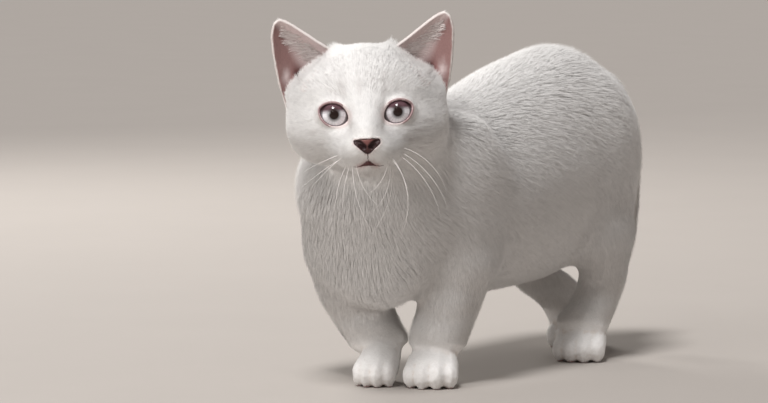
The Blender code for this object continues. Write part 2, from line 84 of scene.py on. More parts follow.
def angle_property(name, description, degrees):
    return size_property(name, description, math.radians(degrees), "ROTATION")


def count_property(name, description, default):
    return bpy.props.IntProperty(name=name, description=description, default=default)


def colour_property(name, description, default):
    return bpy.props.FloatVectorProperty(
        name=name, description=description, subtype="COLOR", size=3, min=0.0, max=1.0, default=default
    )


class CatSizes(bpy.types.PropertyGroup):
    """Sizes of the cat's skin and coat, which a user may change before it is made."""

    head_yaw: angle_property("Head yaw", "Turn of the head to its left", 36.0)
    head_pitch: angle_property("Head pitch", "Lift of the nose", 5.0)
    head_roll: angle_property("Head roll", "Lift of the left ear", 2.7)
    skin_grain: size_property("Skin grain", "Edge of a cell of the skin", 0.75 * MM)
    skin_faces: count_property("Skin faces", "Faces of the finished skin", 170000)
    tufts: count_property("Tufts", "Tufts in the whole coat", 350000)
    tuft_width: size_property("Tuft width", "Width of a tuft at its root on the body", 0.46 * MM)
    whisker_length: size_property("Whisker length", "Length of the longest whiskers", 46 * MM)
    eye_radius: size_property("Eye radius", "Radius of the eyeball", 9.5 * MM)
    iris_radius: size_property("Iris radius", "Radius of the iris", 6.6 * MM)
    pupil_radius: size_property("Pupil radius", "Radius of the pupil", 2.7 * MM)


class CatColours(bpy.types.PropertyGroup):
    """Colours of the cat, which a user may change before it is made."""

    coat: colour_property("Coat", "White of the coat", (0.93, 0.915, 0.90))
    # Grey of the faint marks, also painted as shade under the chin, beside the nose bridge and in the slits
    # of the ears
    shade: colour_property("Shade", "Grey of the faint marks", (0.52, 0.47, 0.45))
    # Tan also serves as painted shade in the folds of the paws
    tan: colour_property("Tan", "Warm tint of the lower legs and the tail", (0.74, 0.67, 0.61))
    skin: colour_property("Skin", "Bare skin of the pads", (0.62, 0.36, 0.34))
    ear: colour_property("Ear", "Thin skin inside the ears", (0.30, 0.175, 0.165))
    ear_pale: colour_property("Pale ear", "Pale hair over the inner half of the ears", (0.74, 0.62, 0.61))
    ear_red: colour_property("Red of the ear", "Foot of the ears", (0.47, 0.17, 0.16))
    # Painted shade in the way into the ears and in the slits of their outer edges
    ear_hollow_shade: colour_property("Depth of the ear", "Way into the ears", (0.07, 0.02, 0.02))
    nose: colour_property("Nose", "Nose leather", (0.20, 0.070, 0.062))
    # Painted shade in the nostrils and over the lower half of the nose
    nostrils: colour_property("Nostrils", "Nostrils and the lower half of the nose", (0.030, 0.006, 0.007))
    lids: colour_property("Lids", "Bare outer rims of the lids", (0.38, 0.25, 0.255))
    lash: colour_property("Lash line", "Dark inner line of the lids", (0.14, 0.065, 0.075))
    # The lips' dark edge, and painted shade of the slightly open mouth at its middle
    mouth: colour_property("Mouth", "Line of the lips", (0.075, 0.018, 0.018))
    lips: colour_property("Lips", "Skin along the mouth", (0.45, 0.25, 0.23))
    iris: colour_property("Iris", "Pale grey iris", (0.97, 0.96, 1.0))
    # Painted shade of the upper lid and painted dark reflection, laid over the upper iris
    iris_top_shade: colour_property("Iris top", "Mauve upper part of the iris", (0.12, 0.064, 0.076))
    pupil: colour_property("Pupil", "Pupil and the dark ring of the iris", (0.020, 0.010, 0.008))
    whisker: colour_property("Whisker", "Whiskers and long hairs", (0.90, 0.86, 0.84))
    floor: colour_property("Floor", "Plain studio floor", (0.44, 0.405, 0.375))


# Frames and small helpers


def sizes():
    return bpy.context.scene.cat_sizes


def colours():
    return bpy.context.scene.cat_colours


def box_middle(node):
    low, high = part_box(node)
    return (low + high) / 2


# Places on the face in the head's own frame, in millimetres: the eyes' middles and their openings,
# and the x and z of the mouth and of a nostril on the left half
EYE_APART = 17.3
EYE_DEEP = -21.4
EYE_HIGH = -2.5
EYE_HALF_LENGTH = 8.4
EYE_HALF_OPEN = 6.2
EYE_SLANT = math.radians(24)
MOUTH_LINE = [(0.0, -29.2), (1.7, -30.1), (3.8, -31.0), (6.0, -31.5), (8.2, -31.2)]
NOSTRIL_LINE = [(1.9, -21.2), (3.6, -19.5), (5.2, -18.4), (7.0, -17.3)]


def head_frame():
    """Carries points of the head's own frame into the cat's."""
    s = sizes()
    turn = (
        Matrix.Rotation(s.head_yaw, 4, "Z")
        @ Matrix.Rotation(-s.head_pitch, 4, "X")
        @ Matrix.Rotation(-s.head_roll, 4, "Y")
    )
    eyes = (box_middle("eye_left") + box_middle("eye_right")) / 2
    place = eyes - turn @ (Vector((0, EYE_DEEP, EYE_HIGH)) * MM)
    return Matrix.Translation(place) @ turn


def local_to(frame_matrix, points):
    """Points in a frame of their own, in millimetres."""
    back = np.array(frame_matrix.inverted())
    return (points @ back[:3, :3].T + back[:3, 3]) / MM


def turned_by(frame_matrix, vectors):
    return vectors @ np.array(frame_matrix)[:3, :3].T


def unit(vectors):
    return vectors / np.maximum(np.linalg.norm(vectors, axis=-1, keepdims=True), 1e-12)


def square_to(vectors, axes):
    """The vectors without their part along the axes, at length 1."""
    return unit(vectors - (vectors * axes).sum(1, keepdims=True) * axes)


def smooth_step(low, high, x):
    t = np.clip((x - low) / (high - low), 0, 1)
    return t * t * (3 - 2 * t)


def soft_line(gap, wide):
    """1 on a line and softly less away from it."""
    return np.exp(-((gap / wide) ** 2))


def soft_spot(x, z, place, wide, high):
    """1 at a place on the face and softly less around it."""
    return np.exp(-(((x - place[0]) / wide) ** 2) - ((z - place[1]) / high) ** 2)


def tree_of(places):
    """A tree that finds the nearest of the places and its number."""
    tree = KDTree(len(places))
    for k, place in enumerate(places):
        tree.insert(place, k)
    tree.balance()
    return tree


def add_object(name, data):
    made = bpy.data.objects.new(name, data)
    bpy.context.scene.collection.objects.link(made)
    return made


def object_from(name, bm):
    mesh = bpy.data.meshes.new(name)
    bm.to_mesh(mesh)
    bm.free()
    return add_object(name, mesh)


def evaluated_mesh(obj):
    graph = bpy.context.evaluated_depsgraph_get()
    return bpy.data.meshes.new_from_object(obj.evaluated_get(graph))


def apply_modifiers(obj):
    """Replaces the object's mesh by what its modifiers make of it."""
    old, obj.data = obj.data, evaluated_mesh(obj)
    obj.modifiers.clear()
    bpy.data.meshes.remove(old)


def add_modifier(obj, kind, **values):
    step = obj.modifiers.new(kind.lower(), kind)
    for name, value in values.items():
        setattr(step, name, value)


def read_all(items, what, wide, kind=float):
    """One row of values for each item of a collection in a mesh."""
    flat = np.empty(len(items) * wide, kind)
    items.foreach_get(what, flat)
    return flat.reshape(-1, wide)


def vertex_array(mesh, what="co"):
    return read_all(mesh.vertices, what, 3)


def edge_array(mesh):
    return read_all(mesh.edges, "vertices", 2, np.int64)


def move_points(mesh, points):
    mesh.vertices.foreach_set("co", points.ravel())
    mesh.update()


def store(mesh, name, values, kind):
    """Keeps a value for each point of the mesh under a name."""
    slot = {"FLOAT": "value", "FLOAT_VECTOR": "vector", "FLOAT_COLOR": "color"}[kind]
    if kind == "FLOAT_COLOR":
        values = np.concatenate([values, np.ones((len(values), 1))], axis=1)
    held = mesh.attributes.new(name, kind, "POINT")
    held.data.foreach_set(slot, np.ascontiguousarray(values, np.float32).ravel())


def stored(mesh, name, wide):
    slot = {1: "value", 3: "vector", 4: "color"}[wide]
    return read_all(mesh.attributes[name].data, slot, wide, np.float32).astype(float)


def finish_piece(obj, look, slot, *replaced, smooth=True):
    """Gives a piece its material and smooth shading, hides the solids that it stands for and hangs it from
    the root.
    """
    obj.data.materials.clear()
    obj.data.materials.append(look)
    if smooth:
        obj.data.shade_smooth()
    if replaced:
        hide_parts(*replaced)
    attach(obj, "root")


# The skin


def merged_copy(name, nodes, swell):
    """One mesh of copies of the nodes, each swollen a little so that they meet."""
    whole = bmesh.new()
    for node in nodes:
        piece = bmesh.new()
        piece.from_mesh(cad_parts[node].data)
        bmesh.ops.remove_doubles(piece, verts=piece.verts, dist=1e-6)
        piece.normal_update()
        shifts = [v.normal * swell for v in piece.verts]
        for v, shift in zip(piece.verts, shifts):
            v.co += shift
        mesh = bpy.data.meshes.new("piece")
        piece.to_mesh(mesh)
        piece.free()
        whole.from_mesh(mesh)
        bpy.data.meshes.remove(mesh)
    return object_from(name, whole)


def spread(values, edges, rounds):
    """Averages values along the edges of a mesh, a few times over."""
    count = len(values)
    a, b = edges[:, 0], edges[:, 1]
    degree = np.bincount(a, minlength=count) + np.bincount(b, minlength=count)
    values = values.copy()
    for _ in range(rounds):
        for k in range(values.shape[1]):
            column = values[:, k]
            near = np.bincount(a, column[b], count) + np.bincount(b, column[a], count)
            values[:, k] = 0.4 * column + 0.6 * near / np.maximum(degree, 1)
    return values


def region_shares(points, edges, rounds):
    """How much each point belongs to each region, softly from one to the next."""
    seeds = []
    for k, name in enumerate(NAMES):
        for node in REGIONS[name]:
            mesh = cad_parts[node].data
            seeds += [(tuple(v.co), k) for v in mesh.vertices]
    seeds = sorted(set(seeds))
    tree = tree_of([place for place, _ in seeds])
    found = np.array([seeds[tree.find(p)[1]][1] for p in points.tolist()])
    shares = np.eye(len(NAMES))[found]
    return spread(shares, edges, rounds), found


def share_of(shares, name):
    return shares[:, NAMES.index(name)]


NOISE_SEED = 1


def noise_at(points, scale, seed):
    """A smooth random vector at each point, the same in each run, in waves of scale millimetres."""
    noise.seed_set(NOISE_SEED)
    shift = Vector((seed * 7.3, seed * 3.1, seed * 5.7))
    return np.array([noise.noise_vector(Vector(p) / (scale * MM) + shift) for p in points.tolist()])


# Depth of the coat, length of its tufts and their number on a square millimetre, by region
COAT_DEPTH = {"head": 1.5, "neck": 2.5, "torso": 2.6, "leg": 1.5, "paw": 0.5, "tail": 2.2, "ear": 0.3}
TUFT_LENGTH = {"head": 6.0, "neck": 10.5, "torso": 10.0, "leg": 6.5, "paw": 1.6, "tail": 9.0, "ear": 1.8}
TUFT_DENSITY = {"head": 4.8, "neck": 2.4, "torso": 2.0, "leg": 3.4, "paw": 9.0, "tail": 2.6, "ear": 7.0}


def by_region(shares, table):
    return shares @ np.array([table[name] for name in NAMES])


def lid_gap(h):
    """How far outside the opening of the nearer eye a place on the face is, in millimetres."""
    gaps = []
    for side in SIDES.values():
        across, up = side * h[:, 0] - EYE_APART, h[:, 2] - EYE_HIGH
        u = across * math.cos(EYE_SLANT) + up * math.sin(EYE_SLANT)
        v = up * math.cos(EYE_SLANT) - across * math.sin(EYE_SLANT)
        reach = np.hypot(u / EYE_HALF_LENGTH, v / EYE_HALF_OPEN)
        gap = (reach - 1) * math.sqrt(EYE_HALF_LENGTH * EYE_HALF_OPEN)
        gaps.append(np.where(h[:, 1] < 0, gap, 99.0))
    return np.minimum(*gaps)


def nose_gap(points):
    """Distance from the nose leather, in millimetres."""
    tree = tree_of([v.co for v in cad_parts["nose"].data.vertices])
    return np.array([tree.find(p)[2] for p in points.tolist()]) / MM


def mouth_gap(h):
    """Distance from the line of the mouth as seen from the front, in millimetres."""
    return line_gap(np.abs(h[:, 0]), h[:, 2], MOUTH_LINE) + 50 * (h[:, 1] > -20)


def line_gap(x, z, line):
    """Distance of places from a line of points, all in one plane."""
    gap = np.full(len(x), 99.0)
    for (x0, z0), (x1, z1) in zip(line[:-1], line[1:]):
        long2 = (x1 - x0) ** 2 + (z1 - z0) ** 2
        t = np.clip(((x - x0) * (x1 - x0) + (z - z0) * (z1 - z0)) / long2, 0, 1)
        gap = np.minimum(gap, np.hypot(x - x0 - t * (x1 - x0), z - z0 - t * (z1 - z0)))
    return gap


# In the head's own frame: the middle of the muzzle, and the place that the head's hair points away from
MUZZLE = (0, -40, -22)
HAIR_SOURCE = (0, -44, -20)


def face_closeness(h):
    """From 1 on the muzzle and round the eyes to 0 on the cheeks, the skull and beyond."""
    muzzle = 1 - smooth_step(6, 30, np.linalg.norm((h - MUZZLE) * (1, 0.7, 1), axis=1))
    return np.maximum(muzzle, 1 - smooth_step(2, 13, lid_gap(h)))


def lie_of_coat(points, normals, h, shares, edges):
    """The way the hair points, along the skin: from the nose over the head and down to the feet."""
    head = head_frame()
    face = unit(h - HAIR_SOURCE) + 0.35 * np.array((0, 1, -0.15))
    back = np.clip((points[:, 2:] / MM - 100) / 45, -0.3, 1.2)
    ways = {
        "head": turned_by(head, face),
        "neck": np.array([(0, 0.55, -0.85)]),
        "torso": np.array([(0, 1, -0.62)]),
        "leg": np.array([(0, 0.22, -1)]),
        "paw": np.array([(0.35, -1, -0.45)]),
        "tail": back * (0, 1, 0) + (0, 0, -1),
        "ear": turned_by(head, np.sign(h[:, :1]) * (0.4, 0, 0) + (0, 0, 1)),
    }
    made = sum(shares[:, k : k + 1] * unit(ways[name]) for k, name in enumerate(NAMES))
    made = made + 0.20 * noise_at(points, 16, 1) + 0.16 * noise_at(points, 5, 2)
    made = spread(square_to(made, normals), edges, 3)
    return square_to(made, normals)


# Faint marks and painted shade on the head in its own frame: x, z, half sizes across and up, strength. The
# spot under the chin and the line down the left side of the nose bridge are painted shade; the spots at the
# ears' feet darken the fur there
HEAD_MARKS_AND_SHADE = [
    (-11.4, 9.8, 1.2, 4.0, 0.40),
    (-3.0, 9.5, 1.6, 4.5, 0.28),
    (9.9, 11.0, 1.4, 5.0, 0.28),
    (4.0, 14.0, 1.2, 4.5, 0.16),
    (-27.5, -11.5, 4.5, 1.2, 0.36),
    (-24.0, -17.5, 5.0, 1.3, 0.26),
    (27.5, -13.0, 4.5, 1.0, 0.50),
    (22.0, -17.5, 5.0, 1.2, 0.50),
    (30.0, -8.5, 4.0, 1.0, 0.35),
    # painted shade under the chin
    (0.0, -36.5, 8.0, 3.6, 0.40),
    (-8.4, -9.0, 1.1, 2.6, 0.45),
    # this and the next: painted shade down the left side of the nose bridge
    (9.0, -9.5, 1.2, 4.5, 0.38),
    (5.6, -0.5, 1.0, 7.0, 0.16),
    (-22.0, 31.0, 4.0, 5.0, 0.22),
    (22.0, 31.0, 4.0, 5.0, 0.22),
]

# An ear as seen from the front, as x and z in the head's own frame: its edges, the way into it, the lobe
# beside that, the slit in the outer edge and the line where the ear leaves the head
EAR_OUTER = [(43.0, -3.0), (45.2, 6.0), (47.6, 18.0), (49.6, 32.0), (50.2, 43.0), (48.6, 50.0)]
EAR_INNER = [(10.0, 25.0), (16.0, 33.0), (24.0, 38.5), (33.0, 45.0), (40.0, 49.8), (45.6, 52.4), (48.6, 50.0)]
EAR_CANAL = (36.3, 22.0)
EAR_LOBE = (42.6, 20.5)
EAR_SLIT = [(34.0, 15.5), (37.4, 19.5), (31.0, 24.5)]
EAR_FOOT = [(15.0, 34.0), (25.5, 29.5), (33.4, 23.1), (39.5, 16.0), (44.0, 8.5)]

# How strongly the lips' colour tints the coat along the mouth, partly as painted shade under the upper lip,
# round the lids and round the nose; how strongly tan paints shade into its folds and tints the tail and the
# ears; and how strongly painted shade darkens the slit of an ear
MOUTH_TINT_AND_SHADE = 0.75
LID_TINT = 0.40
NOSE_TINT = 0.45
FOLD_SHADE = 0.6
TAIL_TINT = 0.40
EAR_SLIT_SHADE = 0.55
CROWN_HEIGHT = 25.0  # marks above this lie on the ears' feet and reach further back


def mix(a, b, share):
    return a + (b - a) * np.asarray(share).reshape(-1, 1)


def ear_colour(h):
    """The colour inside an ear: mauve outwards, pale inwards, red at its foot, with painted shade in its
    canal and in the slit of its outer edge.
    """
    c = colours()
    x, z = np.abs(h[:, 0]), h[:, 2]
    pale, inner = np.array(c.ear_pale), line_gap(x, z, EAR_INNER)
    outward = inner / (inner + line_gap(x, z, EAR_OUTER) + 0.01)
    made = mix(np.tile(pale, (len(h), 1)), np.array(c.ear), smooth_step(0.38, 0.66, outward))
    made = mix(made, np.array(c.ear_red), 0.75 * smooth_step(27, 19, z) * smooth_step(43, 38, x))
    made = mix(made, pale, soft_spot(x, z, EAR_LOBE, 2.0, 3.8))
    # Painted shade in the way into the ear and in the slit of its outer edge
    canal = soft_spot(x, z, EAR_CANAL, 2.3, 3.2)
    slit = soft_line(line_gap(x, z, EAR_SLIT), 0.8)
    return mix(made, np.array(c.ear_hollow_shade), np.clip(1.3 * canal + 0.7 * slit, 0, 0.95))


def coat_colour(points, h, shares, bare, sole, nose, crease):
    """The colour of skin and coat alike at points of the cat, with painted shade under the chin, beside the
    nose bridge, under the upper lip, in the folds of the paws and in the ears' hollows and slits.
    """
    c = colours()
    white, shade, tan, pink, lips = (np.array(v) for v in (c.coat, c.shade, c.tan, c.skin, c.lips))
    cloud = noise_at(points, 30, 3)[:, 0]
    fine = noise_at(points, 7, 4)[:, 0]
    made = np.tile(white, (len(points), 1)) * (1 + 0.02 * cloud[:, None] + 0.02 * fine[:, None])
    x, y, z = h.T
    front, crown = smooth_step(5, -12, y), smooth_step(25, 10, y)
    streaks = np.clip(1 + 1.4 * noise_at(points, 2.2, 7)[:, 0], 0.2, 1.8)
    # Faint marks, with painted shade under the chin and beside the nose bridge
    for *place, wide, high, strength in HEAD_MARKS_AND_SHADE:
        spot = soft_spot(x, z, place, wide, high)
        made = mix(made, shade, strength * streaks * spot * (front if place[1] < CROWN_HEIGHT else crown))
    # The lips' colour along the mouth, partly painted shade under the upper lip
    mouth = MOUTH_TINT_AND_SHADE * soft_line(mouth_gap(h), 1.5) * smooth_step(8.5, 4.0, np.abs(x))
    made = mix(made, lips, mouth)
    made = mix(made, lips, LID_TINT * smooth_step(2.2, 0.3, lid_gap(h)))
    made = mix(made, lips, NOSE_TINT * smooth_step(1.6, 0.4, nose))
    # Painted shade along the slit of each ear's outer edge
    slit = EAR_SLIT_SHADE * soft_line(line_gap(np.abs(x), z, EAR_SLIT[:2]), 1.0) * (y < 12)
    made = mix(made, shade * 0.8, slit * (np.linalg.norm(h, axis=1) < 60))
    # Painted shade in tan at the bottom of the paws' folds
    made = mix(made, tan, FOLD_SHADE * crease)
    height = points[:, 2] / MM
    leg = share_of(shares, "leg") + share_of(shares, "paw")
    bars = leg * (0.10 + 0.14 * (0.5 + 0.5 * np.sin(height / 3.1 + 2.2 * cloud)))
    made = mix(made, tan, bars * smooth_step(75, 45, height) * smooth_step(14, 30, height))
    made = mix(made, tan, TAIL_TINT * share_of(shares, "tail") + TAIL_TINT * share_of(shares, "ear"))
    made = np.where(bare[:, None] > 0, mix(made, ear_colour(h), bare), made)
    return mix(made, pink, sole)


def ear_inside(h, normals_h, found):
    """1 on the bare inner side of the ears, 0 on their backs and on their white rims."""
    inward = smooth_step(0.10, 0.35, -normals_h[:, 1])
    x, z = np.abs(h[:, 0]), h[:, 2]
    rim = np.minimum(line_gap(x, z, EAR_OUTER), line_gap(x, z, EAR_INNER))
    return np.where(found == NAMES.index("ear"), inward * smooth_step(0.25, 0.8, rim), 0.0)


def crease_of(points, normals, edges):
    """From 0 on round forms to 1 in the bottom of a narrow fold."""
    hollow = ((spread(points, edges, 10) - points) * normals).sum(1) / MM
    return smooth_step(0.05, 0.30, hollow)


# How far the pieces of the skin swell to meet, how many rounds its calm parts are smoothed, and how many
# rounds the regions run into each other
SKIN_SWELL = 0.22 * MM
CALM_ROUNDS = 40
REGION_ROUNDS = 24
SOLE_HEIGHT = 0.7 * MM


def mark_calm(skin, head):
    """Marks where the skin is smoothed most: away from the face, the ears and the toes."""
    points = vertex_array(skin.data)
    h = local_to(head, points)
    x = np.abs(h[:, 0])
    ear = smooth_step(17, 22, h[:, 2] + 0.55 * (x - 34)) * (x > 8) * (h[:, 1] < 22)
    ear = ear * (np.linalg.norm(h, axis=1) < 90)
    paw = smooth_step(30, 22, points[:, 2] / MM)
    calm = np.clip(1 - np.maximum.reduce([face_closeness(h), ear, paw]), 0, 1)
    group = skin.vertex_groups.new(name="calm")
    levels = np.round(calm * 20) / 20
    for level in np.unique(levels):
        if level > 0:
            group.add(np.flatnonzero(levels == level).tolist(), float(level), "REPLACE")


def make_skin():
    """One skin for all solids of flesh, sunk by the depth of its coat, with what the coat reads from it."""
    s = sizes()
    head = head_frame()
    skin = merged_copy("skin", FLESH, SKIN_SWELL)
    add_modifier(skin, "REMESH", mode="VOXEL", voxel_size=s.skin_grain)
    add_modifier(skin, "SMOOTH", factor=0.5, iterations=2)
    apply_modifiers(skin)
    mark_calm(skin, head)
    add_modifier(skin, "SMOOTH", factor=0.5, iterations=CALM_ROUNDS, vertex_group="calm")
    ratio = min(1.0, s.skin_faces / (2 * len(skin.data.polygons)))
    add_modifier(skin, "DECIMATE", ratio=ratio, use_collapse_triangulate=True)
    apply_modifiers(skin)
    mesh = skin.data
    edges, points = edge_array(mesh), vertex_array(mesh)
    shares, found = region_shares(points, edges, REGION_ROUNDS)
    h = local_to(head, points)
    lids, nose = lid_gap(h), nose_gap(points)
    depth = by_region(shares, COAT_DEPTH) * (1 - 0.66 * face_closeness(h))
    depth *= smooth_step(-0.4, 2.4, lids) * smooth_step(0.2, 2.2, nose)
    depth = np.minimum(depth, np.maximum(0, points[:, 2] / MM - 0.2))
    points = points - vertex_array(mesh, "normal") * depth[:, None] * MM
    points[:, 2] = np.maximum(points[:, 2], 0)
    move_points(mesh, points)
    normals = vertex_array(mesh, "normal")
    bare = ear_inside(h, normals @ np.array(head)[:3, :3], found)
    bare = spread(bare[:, None], edges, 1)[:, 0]
    sole = ((points[:, 2] < SOLE_HEIGHT) & (normals[:, 2] < -0.75)).astype(float)
    crease = crease_of(points, normals, edges) * smooth_step(24, 16, points[:, 2] / MM)
    fields = {"coat_depth": depth, "lids": lids, "nose": nose}
    fields |= {"bare": np.maximum(bare, sole), "crease": crease}
    fields |= {"share_" + name: shares[:, k] for k, name in enumerate(NAMES)}
    for name, values in fields.items():
        store(mesh, name, values, "FLOAT")
    store(mesh, "lie", lie_of_coat(points, normals, h, shares, edges), "FLOAT_VECTOR")
    store(mesh, "coat", coat_colour(points, h, shares, bare, sole, nose, crease), "FLOAT_COLOR")
    unwrap(skin)
    finish_piece(skin, skin_material(), "torso", *FLESH)


def unwrap(obj):
    """Unwraps the piece by its own shape into the map that the coat shares."""
    mesh = obj.data
    while mesh.uv_layers:
        mesh.uv_layers.remove(mesh.uv_layers[0])
    mesh.uv_layers.new(name="OFBake")
    bpy.context.view_layer.objects.active = obj
    obj.select_set(True)
    bpy.ops.object.mode_set(mode="EDIT")
    bpy.ops.mesh.select_all(action="SELECT")
    bpy.ops.uv.smart_project(angle_limit=math.radians(66), island_margin=0.002)
    bpy.ops.object.mode_set(mode="OBJECT")
    obj.select_set(False)


# The coat


def triangle_arrays(mesh):
    mesh.calc_loop_triangles()
    triangles = mesh.loop_triangles
    return read_all(triangles, "vertices", 3, np.int64), read_all(triangles, "loops", 3, np.int64)


def scatter(corners, points, weight, count, rng):
    """Random places on the triangles, more where the weight is higher."""
    a, b, c = (points[corners[:, k]] for k in range(3))
    area = np.linalg.norm(np.cross(b - a, c - a), axis=1) / 2
    share = np.cumsum(area * weight[corners].mean(1))
    picks = (np.arange(count) + rng.random(count)) / count * share[-1]
    which = np.searchsorted(share, picks)
    which = np.minimum(which, len(share) - 1)
    r = np.sqrt(rng.random(count))
    q = rng.random(count)
    return which, np.stack([1 - r, r * (1 - q), r * q], axis=1)


def blended(values, corners, which, inside):
    """Values at places inside triangles, from those at the triangles' corners."""
    return (values[corners[which]] * inside[:, :, None]).sum(1)


# A tuft has corners left and right of its root and over it, and its tip: its four faces, its patch of the
# map, and its thickness as a share of its width
TUFT_FACES = np.array([[0, 1, 3], [1, 2, 3], [2, 0, 3], [0, 2, 1]])
TUFT_PATCH = np.array([(-1, -1), (1, -1), (0, -0.4), (0, 1)]) * 0.0015
TUFT_THICKNESS = 0.15


def spikes(name, roots, tips, across, up, wide, inner, outer, uv):
    """Thin closed tufts from roots to tips, joined in one mesh and shaded like rounded locks."""
    count = len(roots)
    along = unit(tips - roots)
    side = square_to(across, along)
    over = np.cross(along, side)
    half, thick = side * wide[:, None] / 2, (wide * TUFT_THICKNESS)[:, None]
    corner = np.stack([roots - half, roots + half, roots + over * thick, tips], axis=1)
    faces = (np.arange(count)[:, None, None] * 4 + TUFT_FACES[None]).reshape(-1)
    mesh = bpy.data.meshes.new(name)
    mesh.vertices.add(count * 4)
    mesh.vertices.foreach_set("co", corner.reshape(-1).astype(np.float32))
    mesh.loops.add(count * 12)
    mesh.loops.foreach_set("vertex_index", faces.astype(np.int32))
    mesh.polygons.add(count * 4)
    mesh.polygons.foreach_set("loop_start", np.arange(0, count * 12, 3, dtype=np.int32))
    mesh.update(calc_edges=True)
    mesh.shade_smooth()
    soft = np.stack([unit(up - 0.6 * side), unit(up + 0.6 * side), -up, unit(up + 0.25 * along)], axis=1)
    store(mesh, "custom_normal", soft.reshape(-1, 3), "FLOAT_VECTOR")
    store(mesh, "coat", np.stack([inner, inner, inner, outer], axis=1).reshape(-1, 3), "FLOAT_COLOR")
    layer = mesh.uv_layers.new(name="OFBake")
    at = uv[:, None, None, :] + TUFT_PATCH[TUFT_FACES][None]
    layer.data.foreach_set("uv", np.clip(at, 0, 1).astype(np.float32).ravel())
    return add_object(name, mesh)


PIECE_TUFTS = 48000  # four faces each
LOWEST_HAIR = 0.25 * MM
STEEPEST = 0.75  # the most that a tuft rises from the skin, as a share of its length

# Towards these, in the head's own frame, the tufts at an ear's foot fluff up: x outwards, then y and z
FLUFF_OUTWARDS = (0.35, 0, 0)
FLUFF_UP = (0, -0.25, 0.9)


def coat_fields(mesh):
    """What the tufts read from the skin, at each of its points: how dense they grow, how long and so on."""
    points = vertex_array(mesh)
    h = local_to(head_frame(), points)
    shares = np.concatenate([stored(mesh, "share_" + name, 1) for name in NAMES], axis=1)
    bare, lids, nose, crease = (stored(mesh, name, 1) for name in ("bare", "lids", "nose", "crease"))
    near, mouth = face_closeness(h)[:, None], mouth_gap(h)[:, None]
    weight = by_region(shares, TUFT_DENSITY)[:, None] * (1 + 1.2 * near) * (bare < 0.25)
    weight *= (lids > 0.6) * (nose > 0.35) * (mouth > 0.6) * (1 - 0.8 * crease)
    length = by_region(shares, TUFT_LENGTH)[:, None] * (1 - 0.5 * near)
    edge = np.minimum(np.minimum(lids, nose), mouth + 0.5)
    length *= 0.42 + 0.58 * smooth_step(0.5, 6, edge)
    foot = line_gap(np.abs(h[:, 0]), h[:, 2], EAR_FOOT) + 50 * (h[:, 1] > 24)
    foot = (soft_line(foot, 4.0) * (share_of(shares, "ear") < 0.5))[:, None]
    length *= 1 + 0.4 * foot
    weight *= 1 + foot
    length *= 0.4 + 0.6 * smooth_step(20, 55, points[:, 2:] / MM)
    fields = {"weight": weight, "root": points, "up": vertex_array(mesh, "normal"), "length": length}
    fields |= {"lie": stored(mesh, "lie", 3), "tint": stored(mesh, "coat", 4)[:, :3], "near": near}
    return {**fields, "depth": stored(mesh, "coat_depth", 1), "shares": shares, "foot": foot}


def gather(roots, tips, pull, rng):
    """Draws the tips of neighbouring tufts together into locks."""
    seeds = rng.choice(len(roots), len(roots) // 26, replace=False)
    tree = tree_of(roots[seeds])
    owner = np.array([tree.find(p)[1] for p in roots.tolist()])
    lead = seeds[owner]
    close = np.linalg.norm(roots[lead] - roots, axis=1) < 5 * MM
    return tips + (tips[lead] - tips) * (pull * close)[:, None]


def laid_tufts(at, count, rng):
    """Roots, tips, ways across and up, and widths of tufts that lie along the coat's own way."""
    head = head_frame()
    roots, up = at["root"], unit(at["up"])
    depth, length, near, foot = (at[name][:, 0] for name in ("depth", "length", "near", "foot"))
    way = square_to(at["lie"], up)
    length = length * rng.uniform(0.72, 1.18, count)
    rise = np.clip((depth + 0.12) * rng.uniform(0.72, 1.15, count) / length, 0.10, STEEPEST)
    rise = np.minimum(rise, STEEPEST - 0.6 * share_of(at["shares"], "paw"))
    rise = np.where(share_of(at["shares"], "ear") > 0.5, 0.04, rise)
    sway = np.cross(up, way) * rng.normal(0, 0.10, (count, 1))
    heading = unit(way * np.sqrt(1 - rise**2)[:, None] + up * rise[:, None] + sway)
    fluff = np.sign(local_to(head, roots)[:, :1]) * FLUFF_OUTWARDS + FLUFF_UP
    heading = unit(heading + turned_by(head, fluff) * (foot * rng.uniform(0.2, 1.5, count))[:, None])
    tips = roots + heading * (length * MM)[:, None]
    tips = gather(roots, tips, 0.16 * (1 - near), rng)
    roots = roots - up * (0.12 + 0.25 * (1 - near))[:, None] * MM
    roots[:, 2] = np.maximum(roots[:, 2], LOWEST_HAIR)
    tips[:, 2] = np.maximum(tips[:, 2], LOWEST_HAIR * 2)
    wide = sizes().tuft_width * (1 - 0.35 * near) * (0.5 + 0.5 * np.clip(length / 9, 0, 1.2))
    return roots, tips, np.cross(heading, up), up, wide * rng.uniform(0.7, 1.3, count)


